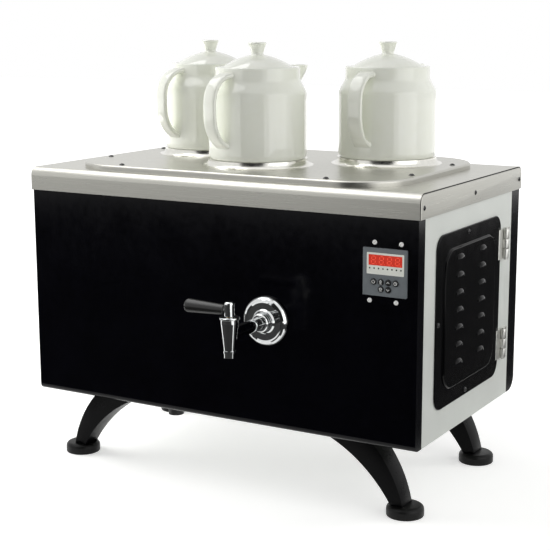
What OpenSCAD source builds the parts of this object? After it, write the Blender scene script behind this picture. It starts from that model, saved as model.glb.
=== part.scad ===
// Electric tea maker: a heated water tank in a sheet-metal casing on four bowed legs,
// with a lever tap, a small controller, a vented service door and three porcelain teapots.
// Millimetres, +Z up. The floor is z = 0 and the front faces -Y.

/* [Casing] */
// Width of the casing
body_w = 600; // [560:1:700]
// Gap between the insulation and the casing's front and rear
casing_gap = 16; // [11:0.5:53]
// Height of the casing from its underside to the cover's lower edge
body_h = 294; // [275:1:340]
// Height of the casing's underside above the floor
leg_h = 104; // [90:1:140]
// Thickness of the casing's sheet
sheet = 1.5; // [1:0.1:2]
// Width of the front panel's return along the sides
front_return = 19; // [16:0.5:26]
// Width of the rear panel's return along the sides
rear_return = 29; // [26:0.5:36]
// Outer radius of the bend under the front panel
front_bend = 8; // [4:0.5:10]
// Outer radius of the bend under the rear panel
rear_bend = 20; // [8:0.5:22]
// Width of the flanges turned in along the side panels
side_flange = 15; // [10:1:25]
// Gap between neighbouring sheets
seam = 0.3; // [0.2:0.05:0.6]

/* [Cover] */
// Height of the cover's skirt
cover_h = 32; // [28:0.5:40]
// Outer radius of the cover's front and rear bends
cover_bend = 11.5; // [6:0.5:14]
// Distance of the outer skirt screws from the casing's front and rear
skirt_screw_inset = 9; // [8:0.5:13]
// Height of the skirt screws above the skirt's lower edge
skirt_screw_rise = 14; // [8:0.5:18]

/* [Pot plate] */
// Overhang of the raised pot plate beyond the tank's ends
plate_lap_x = 29; // [25:0.5:45]
// Overhang of the raised pot plate beyond the tank's front and rear
plate_lap_y = 25.5; // [22:0.5:25.5]
// Corner radius of the pot plate
plate_r = 78; // [60:1:90]
// Height of the pot plate above the cover
plate_h = 8; // [6:0.5:12]
// Radius of the plate's rolled edge
plate_edge = 3; // [2.2:0.1:4]
// Height of the collars above the plate
collar_h = 9; // [7:0.5:12]
// Spread of a collar from its top to its foot
collar_flare = 6.5; // [5:0.5:9]
// Radius of the openings that let steam up to the teapots
seat_r = 58; // [50:0.5:61]
// Distance of the end screws from the plate's ends
plate_screw_inset = 13; // [11:0.5:14]
// Distance of the end screws from the middle line
plate_screw_y = 67; // [50:1:75]
// Distance of the front and rear screws from the plate's ends
plate_screw_run = 94; // [88:1:104]

/* [Teapots] */
// Outer radius of a teapot
pot_r = 68; // [64:0.5:70]
// Wall of a teapot
pot_wall = 4; // [3:0.5:5]
// Height of a teapot to its rim
pot_h = 125; // [112:1:140]
// Height at which the shoulder starts to draw in
pot_shoulder = 88; // [80:1:96]
// Outer radius of the neck
neck_r = 58.5; // [56:0.5:60]
// Height of the neck below the rim
neck_h = 15; // [12:0.5:18]
// Reach of the handle from the teapot's axis
handle_reach = 92; // [90:0.5:104]
// Width of the handle's strap
handle_w = 22; // [14:0.5:24]
// Thickness of the handle's strap
handle_t = 7; // [5:0.5:8]
// Reach of the spout from the teapot's axis
spout_reach = 95; // [86:0.5:98]
// Rise of the lid's dome above the rim
dome_h = 16; // [14:0.5:26]
// Height of the lid's knob
knob_h = 17; // [10:0.5:20]
// Largest radius of the lid's knob
knob_r = 12.7; // [10:0.1:15]
// Distance of the outer teapots' middles from the plate's ends
pot_inset = 108; // [104:0.5:112]
// Distance of the outer teapots behind the middle line
pot_rear_y = 57; // [52:0.5:60]
// Distance of the middle teapot before the middle line
pot_front_y = 50; // [46:0.5:60]

/* [Tank] */
// Outer width of the tank
tank_w = 450; // [440:1:456]
// Outer depth of the tank
tank_d = 274; // [270:1:280]
// Corner radius of the tank
tank_r = 60; // [40:1:66]
// Thickness of the tank's sheet
tank_sheet = 1.5; // [1:0.1:2]
// Width of the tank's rim flange
tank_flange = 26; // [24:0.5:28]
// Height of the tank's floor above the casing's underside
tank_rise = 122; // [105:1:130]
// Thickness of the insulation
jacket_t = 20; // [10:1:30]
// Height of the heating elements above the tank's floor
element_rise = 22; // [21:0.5:30]
// Sideways distance of each heating element from the middle
element_y = 52; // [40:0.5:56]
// Length of the heating elements inside the tank
element_l = 350; // [250:1:400]

/* [Tap] */
// Distance of the tap from the middle of the front
tap_x = 86; // [60:1:150]
// Height of the tap's arm above the tank's floor
tap_rise = 24; // [21:0.5:40]
// Distance of the tap's barrel from the front panel
tap_reach = 91; // [75:1:110]
// Radius of the rosette
rosette_r = 33; // [26:0.5:40]
// Depth of the rosette
rosette_h = 10; // [8:0.5:14]
// Radius of the tap's threaded shank
shank_r = 10; // [9.5:0.1:11]
// Radius of the tap's arm
arm_r = 8.5; // [7.5:0.1:9]
// Radius of the tap's barrel
barrel_r = 11.5; // [9.5:0.1:12]
// Height of the barrel above the arm's axis
barrel_up = 20; // [12:0.5:24]
// Depth of the barrel below the arm's axis
barrel_down = 20; // [16:0.5:26]
// Length of the nozzle below the barrel
nozzle_l = 9; // [6:0.5:16]
// Radius of the nozzle
nozzle_r = 7.5; // [6.5:0.1:8.5]
// Radius of the turning plug in the barrel
plug_r = 6.5; // [6:0.1:7]
// Radius of the water way
water_r = 4; // [3:0.1:4.5]
// Length of the lever's grip
grip_l = 58; // [45:1:75]
// Radius of the grip at its free end
grip_r = 9; // [7.5:0.1:10]

/* [Controller] */
// Distance of the controller's middle from the casing's right side
control_inset = 43.8; // [43:0.2:100]
// Height of the controller above the casing's underside
control_z = 226; // [190:0.2:227]
// Width of the controller's face
face_w = 60; // [58:0.5:66]
// Height of the controller's face
face_h = 60; // [60:0.5:66]
// Thickness of the controller's face
face_t = 2.5; // [2:0.1:4]
// Width of the display window
window_w = 46; // [38:0.2:48]
// Height of the display window
window_h = 13.5; // [10:0.1:16]
// Depth of the controller's housing
housing_d = 45; // [30:1:60]
// Radius of a button
button_r = 3.75; // [3:0.05:3.9]
// Sideways pitch of the buttons
button_pitch = 10; // [9.8:0.1:10.6]
// Pitch of the button rows
button_row = 9; // [9:0.1:9.3]
// Travel of a button
button_travel = 1; // [0.6:0.1:1.2]

/* [Service door] */
// Distance of the door's middle behind the casing's middle
door_y = -10; // [-14:0.5:-6]
// Height of the door's middle above the casing's underside
door_z = 152; // [140:0.5:158]
// Width of the door
door_w = 220; // [200:1:224]
// Height of the door
door_h = 228; // [200:1:236]
// Corner radius of the door
door_r = 20; // [12:0.5:26]
// Margin of the door around the opening behind it
door_lap = 18; // [15:0.5:24]
// Side margin of the door's raised field
field_margin_y = 24; // [20:0.5:30]
// Upper and lower margin of the door's raised field
field_margin_z = 22; // [18:0.5:26]
// Corner radius of the raised field
field_r = 26; // [14:0.5:30]
// Rise of the raised field
field_rise = 2.5; // [1.5:0.1:4]
// Length of a louvre
louvre_l = 22; // [18:0.5:54]
// Height of a louvre's hood
louvre_h = 6.5; // [5:0.1:12]
// Distance that a louvre's hood stands out
louvre_proud = 3.5; // [2.5:0.1:6]
// Height between louvres
louvre_pitch = 23.3; // [18:0.1:23.4]
// Distance between the two columns of louvres
louvre_columns = 76; // [66:0.5:80]
// Distance of the louvres' middle behind the door's middle
louvre_y = -1.5; // [-4:0.5:8]
// Distance of the louvres' middle above the door's middle
louvre_z = 10; // [-2:0.5:11]

/* [Hinges] */
// Distance of the hinge axis behind the door's edge
hinge_set_back = 13; // [11:0.5:14]
// Distance between the two hinges
hinge_spacing = 143; // [120:1:160]
// Height of a hinge
hinge_h = 42; // [36:1:54]
// Radius of a hinge's knuckles
knuckle_r = 4.4; // [4.1:0.1:5]
// Radius of a hinge's pin
pin_r = 1.75; // [1.5:0.05:2]
// Thickness of a hinge's leaves
leaf_t = 2.2; // [1.6:0.1:2.4]

/* [Legs] */
// Distance of a foot's middle from the casing's side
foot_inset_x = 35; // [25:0.5:60]
// Distance of a foot's middle from the casing's front and rear
foot_inset_y = 50; // [50:0.5:60]
// Radius of a foot
foot_r = 25; // [22:0.5:32]
// Height of a foot
foot_h = 15; // [12:0.5:20]
// Width of a leg at its root
leg_root_w = 38; // [34:0.5:40]
// Width of a leg at its ankle
leg_ankle_w = 30; // [22:0.5:34]

/* [Hidden] */
$fn = 64;
cut = 1;
fit = 0.1;
running = 0.05;
free = 0.3;

// Heights
under_z = leg_h;
skirt_z = under_z + body_h;
top_z = skirt_z + cover_h;
plate_z = top_z + plate_h;
seat_z = plate_z + collar_h;
base_z = under_z + sheet;
panel_top = top_z - cover_bend - seam;
rim_z = top_z - sheet;
floor_z = under_z + tank_rise;

// Casing faces
half_w = body_w / 2;
body_d = tank_d + 2 * (jacket_t + casing_gap);
half_d = body_d / 2;
cover_half_w = half_w + seam + sheet;
cover_half_d = half_d + seam + sheet;
inner_x = half_w - sheet;
strip_x = inner_x - fit - sheet;
strip_margin = 3;
strip_w = front_return - sheet - strip_margin;
base_front = -half_d + front_bend + seam;
base_rear = half_d - rear_bend - seam;

// Screws
screw_r = 2;
head_r = 4;
head_h = 2.4;
small_head_r = 3.4;
thread_end = 4;
skirt_screw_z = skirt_z + skirt_screw_rise;
skirt_screw_y = half_d - skirt_screw_inset;
skirt_screws = [-skirt_screw_y, 0, skirt_screw_y];

// Pot plate
plate_w = tank_w + 2 * plate_lap_x;
plate_d = tank_d + 2 * plate_lap_y;
plate_screw_x = plate_w / 2 - plate_screw_run;
plate_screws = [
    for (sx = [-1, 1], sy = [-1, 1]) [sx * (plate_w / 2 - plate_screw_inset), sy * plate_screw_y],
    for (sx = [-1, 1], sy = [-1, 1]) [sx * plate_screw_x, sy * (plate_d / 2 - plate_screw_inset)]
];

// Teapots
collar_room = 1;
collar_top_r = pot_r + collar_room;
collar_foot_r = collar_top_r + collar_flare;
collar_lap = 2;
collar_r_max = collar_foot_r + collar_lap;
pot_x = plate_w / 2 - pot_inset;
pots = [[0, -pot_front_y], [-pot_x, pot_rear_y], [pot_x, pot_rear_y]];
pot_yaw = [15, 21, 4];
neck_z = pot_h - neck_h;
foot_ring_w = 5;
foot_ring_h = 2;
foot_ring_inset = 3;
foot_ring_r = pot_r - foot_ring_inset;
gallery_inset = 8;
gallery_r = neck_r - gallery_inset;
gallery_h = 5;
ledge_w = 5;
ledge_t = 4;
ledge_r = gallery_r - ledge_w;
handle_drop = 6;
handle_root = 3.5;
handle_bend = handle_reach - neck_r + handle_root;
handle_foot_bend = 42;
handle_foot_z = 55;
handle_foot_turn = 68;
spout_r = 14;
spout_wall = 2.5;
spout_tilt = 40;
spout_root = 45;
spout_l = 70;
spout_drop = 10;
lid_play = 0.5;
lid_skirt = 9;
lid_skirt_t = 3.5;
lid_edge = 1.5;
knob_flare = 4.5;
knob_waist_r = knob_r - knob_flare;
knob_lip = 2;
knob_dish = 1.5;

// Tank and heating
jacket_drop = 3;
tank_inner_w = tank_w - 2 * tank_sheet;
tank_inner_d = tank_d - 2 * tank_sheet;
element_z = floor_z + element_rise;
element_head_r = 15;
element_flange_r = 20;
element_flange_t = 6;
element_nut_r = 18.5;
element_nut_t = 10;
element_tail = 2;
element_head_l = element_nut_t + tank_sheet + element_tail;
element_tube_r = 4;
element_gauge = 10;
element_pin_r = 2.5;
element_pin_l = 14;
probe_r = 4;
probe_l = 70;
probe_af = 17;
probe_hex_t = 7;
probe_lead_r = 3;
probe_lead_l = 12;
probe_rise = 60;
probe_z = floor_z + probe_rise;
cutout_rise = 115;
cutout_z = floor_z + cutout_rise;
cutout_r = 9;
cutout_t = 8;
cutout_cap_r = 7.5;
cutout_cap_t = 5;
cutout_tab = [9, 0.8, 6];
cutout_tab_y = 4;
gasket_margin = 2.5;
drain_x = -95;
drain_inset = 15;
drain_y = -tank_d / 2 + drain_inset;
drain_r = 8;
drain_wall = 2;
drain_tail = 18;
drain_cap_depth = 12;
drain_cap_t = 3;

// Electrical parts on the base plate, under the service bay
bay_inset = 10;
bay_x = tank_w / 2 - bay_inset;
contactor_size = [46, 68, 60];
contactor_top = [38, 56, 16];
contactor_y = 12;
block_size = [30, 60, 24];
block_y = -78;
pole_count = 4;
pole_pitch = 14;
pole_r = 4;
pole_depth = 14;

// Tap
tap_z = floor_z + tap_rise;
barrel_y = -half_d - tap_reach;
rosette_ring = 2;
rosette_rim = rosette_h - rosette_ring;
rosette_edge = 1.5;
tap_collar_wall = 2.5;
collar_r = shank_r + tap_collar_wall;
collar_t = 10;
collar_chamfer = 1.5;
seal_t = 2;
seal_w = 4;
seal_r = shank_r + seal_w;
locknut_wall = 4.5;
locknut_af = 2 * (shank_r + locknut_wall);
locknut_t = 10;
barrel_straight = 5;
plug_seat = 3;
nozzle_bead = 3;
nozzle_bead_proud = 0.8;
nozzle_bead_r = nozzle_r + nozzle_bead_proud;
bonnet_proud = 1.5;
bonnet_r = barrel_r + bonnet_proud;
bonnet_h = 3;
bonnet_chamfer = 0.6;
stem_r = 4;
hub_r = 6.5;
hub_h = 19;
hub_cap = 4;
hub_round = 3;
hub_chamfer = 0.8;
spigot_r = 4;
spigot_l = 12;
grip_neck_r = 6.5;
grip_chamfer = 1;
grip_round = 5;
bonnet_z = tap_z + barrel_up;
hub_z = bonnet_z + bonnet_h + free;
lever_rise = 8;
lever_z = hub_z + lever_rise;
plug_z = tap_z - barrel_down + plug_seat;
nozzle_z = tap_z - barrel_down - nozzle_l;

// Controller
control_x = half_w - control_inset;
face_lap_x = 3;
face_lap_z = 2;
housing_w = face_w - 2 * face_lap_x;
housing_h = face_h - 2 * face_lap_z;
housing_t = 2;
bracket_margin = 6;
control_mid_z = under_z + control_z;
control_y = -half_d;
window_rise = 15;
window_shift = 0.8;
window_z = control_mid_z + window_rise;
buttons_drop = 12.3;
buttons_z = control_mid_z - buttons_drop;
face_corner_r = 1.2;
window_flange = 1;
window_flange_t = 1;
button_flange_w = 0.5;
button_flange_r = button_r + button_flange_w;
button_flange_t = 1.5;
button_stem_r = 1.5;
button_proud = 1;
board_depth = 13;
board_y = control_y + board_depth;
board_t = 1.6;
switch_r = 2.5;
switch_h = 1.3;
display_h = 3;
washer_t = 0.8;
washer_r = 3;
control_head_r = 2.4;
control_screw_gap = 6.7;
control_screw_z = face_h / 2 + control_screw_gap;
upper_screw_xs = [-14.9, 21.1];
lower_screw_xs = [-21.2, 15.1];
control_screws = [
    for (x = upper_screw_xs) [x, control_screw_z],
    for (x = lower_screw_xs) [x, -control_screw_z]
];
// Column and row of each button, from the controller's middle
button_places = [[-1.5, 0], [-0.5, 0], [0.5, 0], [1.5, 0], [-0.5, -1], [0.5, -1]];

// Service door and hinges
door_x = half_w + seam;
door_mid_z = under_z + door_z;
field_w = door_w - 2 * field_margin_y;
field_h = door_h - 2 * field_margin_z;
field_x = door_x + field_rise + sheet;
field_slope = 2;
louvre_rows = 7;
louvre_wall = 1.2;
louvre_slot = 3.5;
door_screw_inset = 7;
door_screw_shift = -8;
door_screws_at = [
    [door_screw_shift, door_h / 2 - door_screw_inset],
    [door_screw_shift, -door_h / 2 + door_screw_inset],
    [-door_w / 2 + door_screw_inset, 0]
];
hinge_x = half_w + knuckle_r + free;
hinge_y = door_y + door_w / 2 + hinge_set_back;
hinge_zs = [for (s = [-1, 1]) door_mid_z + s * hinge_spacing / 2];
knuckle_h = hinge_h / 3;
leaf_w = 20;
pin_head_r = pin_r + 1;
pin_head_t = 1.5;

// Rear inlet
gland_inset = 80;
gland_x = half_w - gland_inset;
gland_rise = 45;
gland_z = under_z + gland_rise;
gland_r = 8;
gland_bore = 4.5;
gland_af = 24;
gland_flange = 6;
gland_dome = 16;
gland_neck = 14;
gland_shoulder = 1;
gland_nut_t = 6;

// Legs
foot_x = half_w - foot_inset_x;
foot_y = half_d - foot_inset_y;
leg_run_in = 125;
leg_run_out = 48;
leg_root = [foot_x - leg_run_in, foot_x - leg_run_out];
ankle_in = 15;
ankle_out = 3;
leg_ankle = [foot_x - ankle_in, foot_x + ankle_out];
leg_inner_bend = 200;
leg_outer_bend = 175;
leg_margin = 5;
ankle_set = 5;
ankle_x = foot_x - ankle_set;
ankle_r = 6;
ankle_l = 8;
foot_round = 6;
foot_chamfer = 1;
leg_screw_r = 3;
leg_screw_l = 12;
leg_screw_af = 10;
leg_screw_head = 4;
leg_screw_runs = [88, 63];
leg_screw_xs = [for (run = leg_screw_runs) foot_x - run];
leg_signs = [[-1, -1], [1, -1], [-1, 1], [1, 1]];

// Extents, which centre the part over its origin
x_low = -cover_half_w - head_h;
x_high = max(field_x + louvre_proud, hinge_x + knuckle_r);
y_low = barrel_y - bonnet_r;
y_high = half_d + gland_flange + gland_dome;

// Points along an oval's edge, in steps from one angle to another
function oval(c, rx, ry, from, to, n = 8) =
    [for (i = [0:n]) let (a = from + (to - from) * i / n) [c[0] + rx * cos(a), c[1] + ry * sin(a)]];

// Points along an arc
function arc(c, r, from, to, n = 8) = oval(c, r, r, from, to, n);

// Radius of the arc over a half chord that rises by a given height
function bow_radius(half, rise) = (half * half + rise * rise) / (2 * rise);

// Centre of the arc of radius r from a to b that bows up and out
function bow_centre(a, b, r) =
    let (d = b - a, l = norm(d), h = sqrt(r * r - l * l / 4))
    (a + b) / 2 + [d[1], -d[0]] * h / l;

// Puts the middle of the part's outline over the origin
module place() {
    translate([-(x_low + x_high) / 2, -(y_low + y_high) / 2, 0]) children();
}

// Drawn in (y, z), drawn out along +X
module along_x(l) {
    rotate([90, 0, 90]) linear_extrude(height = l) children();
}

// Drawn in (x, z), drawn out along +Y
module along_y(l) {
    translate([0, l, 0]) rotate([90, 0, 0]) linear_extrude(height = l) children();
}

module rod_x(r, l) {
    rotate([0, 90, 0]) cylinder(r = r, h = l);
}

module rod_y(r, l) {
    rotate([-90, 0, 0]) cylinder(r = r, h = l);
}

// Hexagon of a given width across its flats
module hexagon(af) {
    circle(r = af / sqrt(3), $fn = 6);
}

module rounded_rect(w, d, r) {
    square([w - 2 * r, d], center = true);
    square([w, d - 2 * r], center = true);
    for (sx = [-1, 1], sy = [-1, 1])
        translate([sx * (w / 2 - r), sy * (d / 2 - r)]) circle(r = r);
}

// Rounded rectangle swept with an edge profile drawn in (distance from the corner's centre, z)
module rounded_sweep(w, d, r) {
    for (i = [0:3]) {
        side = i % 2 == 0 ? [w / 2 - r, d - 2 * r] : [d / 2 - r, w - 2 * r];
        corner = [[1, 1], [-1, 1], [-1, -1], [1, -1]][i];
        translate([corner[0] * (w / 2 - r), corner[1] * (d / 2 - r), 0])
            rotate([0, 0, 90 * i]) rotate_extrude(angle = 90) children();
        rotate([0, 0, 90 * i]) translate([side[0], side[1] / 2, 0])
            rotate([90, 0, 0]) linear_extrude(height = side[1]) children();
    }
}

// Block in (y, z) whose corner at the origin is rounded
module bent_block(d, h, r) {
    translate([r, 0]) square([d - r, h]);
    translate([0, r]) square([d, h - r]);
    translate([r, r]) intersection() {
        circle(r = r);
        translate([-r, -r]) square(r);
    }
}

// Panel with a rounded bend at its lower edge and returns along its sides, face at y = 0
module pan(depth, bend) {
    h = panel_top - under_z;
    difference() {
        translate([-half_w, 0, 0]) along_x(body_w) bent_block(depth, h, bend);
        translate([-inner_x, sheet, sheet])
            along_x(2 * inner_x) bent_block(depth, h, bend - sheet);
    }
}

// Dome-headed screw, head above z = 0
module dome_screw(r, l, cap_r, cap_h) {
    bow = bow_radius(cap_r, cap_h);
    translate([0, 0, -l]) cylinder(r = r, h = l);
    rotate_extrude() polygon(concat([[0, 0]], arc([0, cap_h - bow], bow, acos(cap_r / bow), 90, 5)));
}

module base_plate() {
    color("silver") difference() {
        translate([-strip_x + seam, base_front, base_z])
            cube([2 * (strip_x - seam), base_rear - base_front, sheet]);
        for (s = leg_signs, x = leg_screw_xs)
            translate([s[0] * x, s[1] * foot_y, base_z - cut])
                cylinder(r = leg_screw_r + fit, h = sheet + 2 * cut);
        translate([drain_x, drain_y, base_z - cut]) cylinder(r = drain_r + cut, h = sheet + 2 * cut);
    }
}

module front_panel() {
    color("black") difference() {
        translate([0, -half_d, under_z]) pan(front_return, front_bend);
        translate([tap_x, -half_d - cut, tap_z]) rod_y(shank_r + free, sheet + 2 * cut);
        translate([control_x, -half_d - cut, control_mid_z])
            along_y(sheet + 2 * cut) square([housing_w + 2 * free, housing_h + 2 * free], center = true);
        for (p = control_screws)
            translate([control_x + p[0], -half_d - cut, control_mid_z + p[1]])
                rod_y(screw_r + fit, sheet + 2 * cut);
        translate([-half_w - cut, -skirt_screw_y, skirt_screw_z])
            rod_x(screw_r + fit, body_w + 2 * cut);
    }
}

module rear_panel() {
    color("black") difference() {
        mirror([0, 1, 0]) translate([0, -half_d, under_z]) pan(rear_return, rear_bend);
        translate([gland_x, half_d - sheet - cut, gland_z]) rod_y(gland_r + fit, sheet + 2 * cut);
        translate([-half_w - cut, skirt_screw_y, skirt_screw_z])
            rod_x(screw_r + fit, body_w + 2 * cut);
    }
}

// Side panel on +X, with flanges turned in and strips that lap behind the returns
module side_panel() {
    y0 = -half_d + front_return + seam;
    y1 = half_d - rear_return - seam;
    lap_z = under_z + rear_bend + strip_w;
    lap_h = panel_top - lap_z;
    difference() {
        union() {
            translate([inner_x, y0, under_z]) cube([sheet, y1 - y0, rim_z - under_z]);
            for (z = [under_z, rim_z - sheet])
                translate([inner_x - side_flange, y0, z]) cube([side_flange, y1 - y0, sheet]);
            for (y = [y0, y1]) {
                translate([strip_x, y - (y == y0 ? strip_w : 0), lap_z]) cube([sheet, strip_w, lap_h]);
                translate([strip_x, y - (y == y0 ? 0 : strip_w), lap_z])
                    cube([inner_x - strip_x, strip_w, lap_h]);
            }
        }
        for (y = skirt_screws)
            translate([strip_x - cut, y, skirt_screw_z])
                rod_x(screw_r + fit, half_w - strip_x + 2 * cut);
    }
}

module left_side_panel() {
    color("lightgray") mirror([1, 0, 0]) side_panel();
}

module right_side_panel() {
    color("lightgray") difference() {
        side_panel();
        translate([inner_x - cut, door_y, door_mid_z])
            along_x(sheet + 2 * cut) rounded_rect(door_w - 2 * door_lap, door_h - 2 * door_lap, door_r);
        for (p = door_screws_at)
            translate([inner_x - cut, door_y + p[0], door_mid_z + p[1]])
                rod_x(screw_r + free, sheet + 2 * cut);
    }
}

// Section of the cover in (y, z), rounded at its two upper corners
module cover_section(half, top, bend) {
    translate([-half, skirt_z - cut]) square([2 * half, top - bend - skirt_z + cut]);
    translate([-half + bend, skirt_z - cut]) square([2 * (half - bend), top - skirt_z + cut]);
    for (s = [-1, 1]) translate([s * (half - bend), top - bend]) circle(r = bend);
}

module top_cover() {
    color("gainsboro") difference() {
        translate([-cover_half_w, 0, 0]) along_x(2 * cover_half_w)
            cover_section(cover_half_d, top_z, cover_bend);
        translate([-cover_half_w + sheet, 0, 0]) along_x(2 * (cover_half_w - sheet))
            cover_section(cover_half_d - sheet, rim_z, cover_bend - sheet);
        translate([-cover_half_w - cut, -cover_half_d - cut, skirt_z - 2 * cut])
            cube([2 * (cover_half_w + cut), 2 * (cover_half_d + cut), 2 * cut]);
        translate([0, 0, rim_z - cut]) linear_extrude(height = sheet + 2 * cut)
            rounded_rect(tank_inner_w, tank_inner_d, tank_r - tank_sheet);
        for (p = plate_screws)
            translate([p[0], p[1], rim_z - cut]) cylinder(r = screw_r + fit, h = sheet + 2 * cut);
        for (y = skirt_screws)
            translate([-cover_half_w - cut, y, skirt_screw_z])
                rod_x(screw_r + fit, 2 * (cover_half_w + cut));
    }
}

module top_cover_screws() {
    color("silver") for (s = [-1, 1], y = skirt_screws)
        translate([s * cover_half_w, y, skirt_screw_z]) rotate([0, s * 90, 0])
            dome_screw(screw_r, cover_half_w - strip_x + cut, head_r, head_h);
}

module plate_gasket() {
    lip = sheet + plate_edge + cut;
    color("dimgray") translate([0, 0, top_z]) difference() {
        linear_extrude(height = plate_h - sheet)
            rounded_rect(plate_w - 2 * lip, plate_d - 2 * lip, plate_r - lip);
        translate([0, 0, -cut]) linear_extrude(height = plate_h + 2 * cut)
            rounded_rect(tank_w + 2 * gasket_margin, tank_d + 2 * gasket_margin, tank_r + gasket_margin);
        for (p = plate_screws)
            translate([p[0], p[1], -cut]) cylinder(r = screw_r + fit, h = plate_h + 2 * cut);
    }
}

// Edge of the pot plate: a skirt that rolls over into the top sheet
module plate_edge_profile() {
    roll = [plate_r - plate_edge, plate_h - plate_edge];
    polygon(concat(
        [[plate_r, 0]], arc(roll, plate_edge, 0, 90), [[0, plate_h], [0, plate_h - sheet]],
        arc(roll, plate_edge - sheet, 90, 0), [[plate_r - sheet, 0]]
    ));
}

module pot_plate() {
    color("silver") translate([0, 0, top_z]) difference() {
        union() {
            rounded_sweep(plate_w, plate_d, plate_r) plate_edge_profile();
            translate([-plate_w / 2 + plate_r, -plate_d / 2 + plate_r, plate_h - sheet])
                cube([plate_w - 2 * plate_r, plate_d - 2 * plate_r, sheet]);
        }
        for (p = pots) translate([p[0], p[1], -cut]) cylinder(r = collar_r_max + fit, h = plate_h + 2 * cut);
        for (p = plate_screws)
            translate([p[0], p[1], -cut]) cylinder(r = screw_r + fit, h = plate_h + 2 * cut);
    }
}

// Flared collars, each welded into a hole of the plate, with a lip turned in for a teapot to stand on
module pot_collars() {
    top = plate_h + collar_h;
    flare = [collar_foot_r, top];
    color("silver") for (p = pots) translate([p[0], p[1], top_z]) rotate_extrude() polygon(concat(
        [[seat_r, top - sheet], [collar_top_r - sheet, top - sheet]],
        oval(flare, collar_flare + sheet, collar_h + sheet, 180, 270),
        [[collar_r_max, plate_h - sheet], [collar_r_max, plate_h]],
        oval(flare, collar_flare, collar_h, 270, 180),
        [[seat_r, top]]
    ));
}

module pot_plate_screws() {
    color("silver") for (p = plate_screws)
        translate([p[0], p[1], plate_z])
            dome_screw(screw_r, plate_h + 2 * sheet + tank_sheet, head_r, head_h);
}

module water_tank() {
    color("silver") difference() {
        union() {
            translate([0, 0, floor_z]) linear_extrude(height = rim_z - floor_z)
                rounded_rect(tank_w, tank_d, tank_r);
            translate([0, 0, rim_z - tank_sheet]) linear_extrude(height = tank_sheet)
                rounded_rect(tank_w + 2 * tank_flange, tank_d + 2 * tank_flange, tank_r + tank_flange);
            translate([drain_x, drain_y, under_z - drain_tail])
                cylinder(r = drain_r, h = floor_z - under_z + drain_tail + cut);
        }
        translate([0, 0, floor_z + tank_sheet]) linear_extrude(height = rim_z - floor_z)
            rounded_rect(tank_inner_w, tank_inner_d, tank_r - tank_sheet);
        translate([drain_x, drain_y, under_z - drain_tail - cut])
            cylinder(r = drain_r - drain_wall, h = floor_z - under_z + drain_tail + 2 * cut + tank_sheet);
        translate([tap_x, -tank_d / 2 - cut, tap_z]) rod_y(shank_r + fit, tank_sheet + 2 * cut);
        for (s = [-1, 1])
            translate([tank_w / 2 - tank_sheet - cut, s * element_y, element_z])
                rod_x(element_head_r + fit, tank_sheet + 2 * cut);
        translate([tank_w / 2 - tank_sheet - cut, 0, probe_z])
            rod_x(probe_r + fit, tank_sheet + 2 * cut);
        for (p = plate_screws)
            translate([p[0], p[1], rim_z - tank_sheet - cut])
                cylinder(r = screw_r + fit, h = tank_sheet + 2 * cut);
    }
}

module drain_cap() {
    color("black") translate([drain_x, drain_y, under_z - drain_tail - drain_cap_t]) difference() {
        cylinder(r = drain_r + drain_cap_t, h = drain_cap_depth + drain_cap_t);
        translate([0, 0, drain_cap_t]) cylinder(r = drain_r + running, h = drain_cap_depth + cut);
    }
}

// Insulation round the front, the left and the rear of the tank
module insulation_jacket() {
    h = rim_z - tank_sheet - floor_z - jacket_drop;
    inner = 2 * free;
    outer = inner + 2 * jacket_t;
    color("khaki") difference() {
        translate([0, 0, floor_z]) linear_extrude(height = h)
            rounded_rect(tank_w + outer, tank_d + outer, tank_r + outer / 2);
        translate([0, 0, floor_z - cut]) linear_extrude(height = h + 2 * cut)
            rounded_rect(tank_w + inner, tank_d + inner, tank_r + inner / 2);
        translate([tank_w / 2 - tank_r - jacket_t, -tank_d, floor_z - cut])
            cube([tank_w, 2 * tank_d, h + 2 * cut]);
        translate([tap_x, -tank_d, tap_z]) rod_y(shank_r + cut, tank_d);
    }
}

// Hairpin elements, each on a flanged head through the tank's right wall
module heating_elements() {
    straight = element_l - element_head_l - element_gauge;
    color("darkgray") for (side = [-1, 1]) translate([tank_w / 2, side * element_y, element_z]) {
        translate([-element_head_l, 0, 0]) rod_x(element_head_r, element_head_l);
        rod_x(element_flange_r, element_flange_t);
        for (s = [-1, 1]) {
            translate([-element_head_l - straight, s * element_gauge, 0]) rod_x(element_tube_r, straight);
            translate([element_flange_t, s * element_gauge, 0]) rod_x(element_pin_r, element_pin_l);
        }
        translate([-element_head_l - straight, 0, 0]) rotate([0, 0, 90]) rotate_extrude(angle = 180)
            translate([element_gauge, 0]) circle(r = element_tube_r);
    }
}

module element_nuts() {
    color("goldenrod") for (s = [-1, 1])
        translate([tank_w / 2 - tank_sheet - element_nut_t, s * element_y, element_z]) difference() {
            rod_x(element_nut_r, element_nut_t);
            translate([-cut, 0, 0]) rod_x(element_head_r + fit, element_nut_t + 2 * cut);
        }
}

module temperature_probe() {
    color("silver") translate([tank_w / 2, 0, probe_z]) {
        translate([-probe_l, 0, 0]) rod_x(probe_r, probe_l);
        rotate([0, 90, 0]) linear_extrude(height = probe_hex_t) hexagon(probe_af);
        translate([probe_hex_t, 0, 0]) rod_x(probe_lead_r, probe_lead_l);
    }
}

module overheat_cutout() {
    color("ivory") translate([tank_w / 2, 0, cutout_z]) {
        rod_x(cutout_r, cutout_t);
        translate([cutout_t, 0, 0]) rod_x(cutout_cap_r, cutout_cap_t);
        for (s = [-1, 1])
            translate([cutout_t + cutout_cap_t, s * cutout_tab_y - cutout_tab[1] / 2, -cutout_tab[2] / 2])
                cube(cutout_tab);
    }
}

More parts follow.
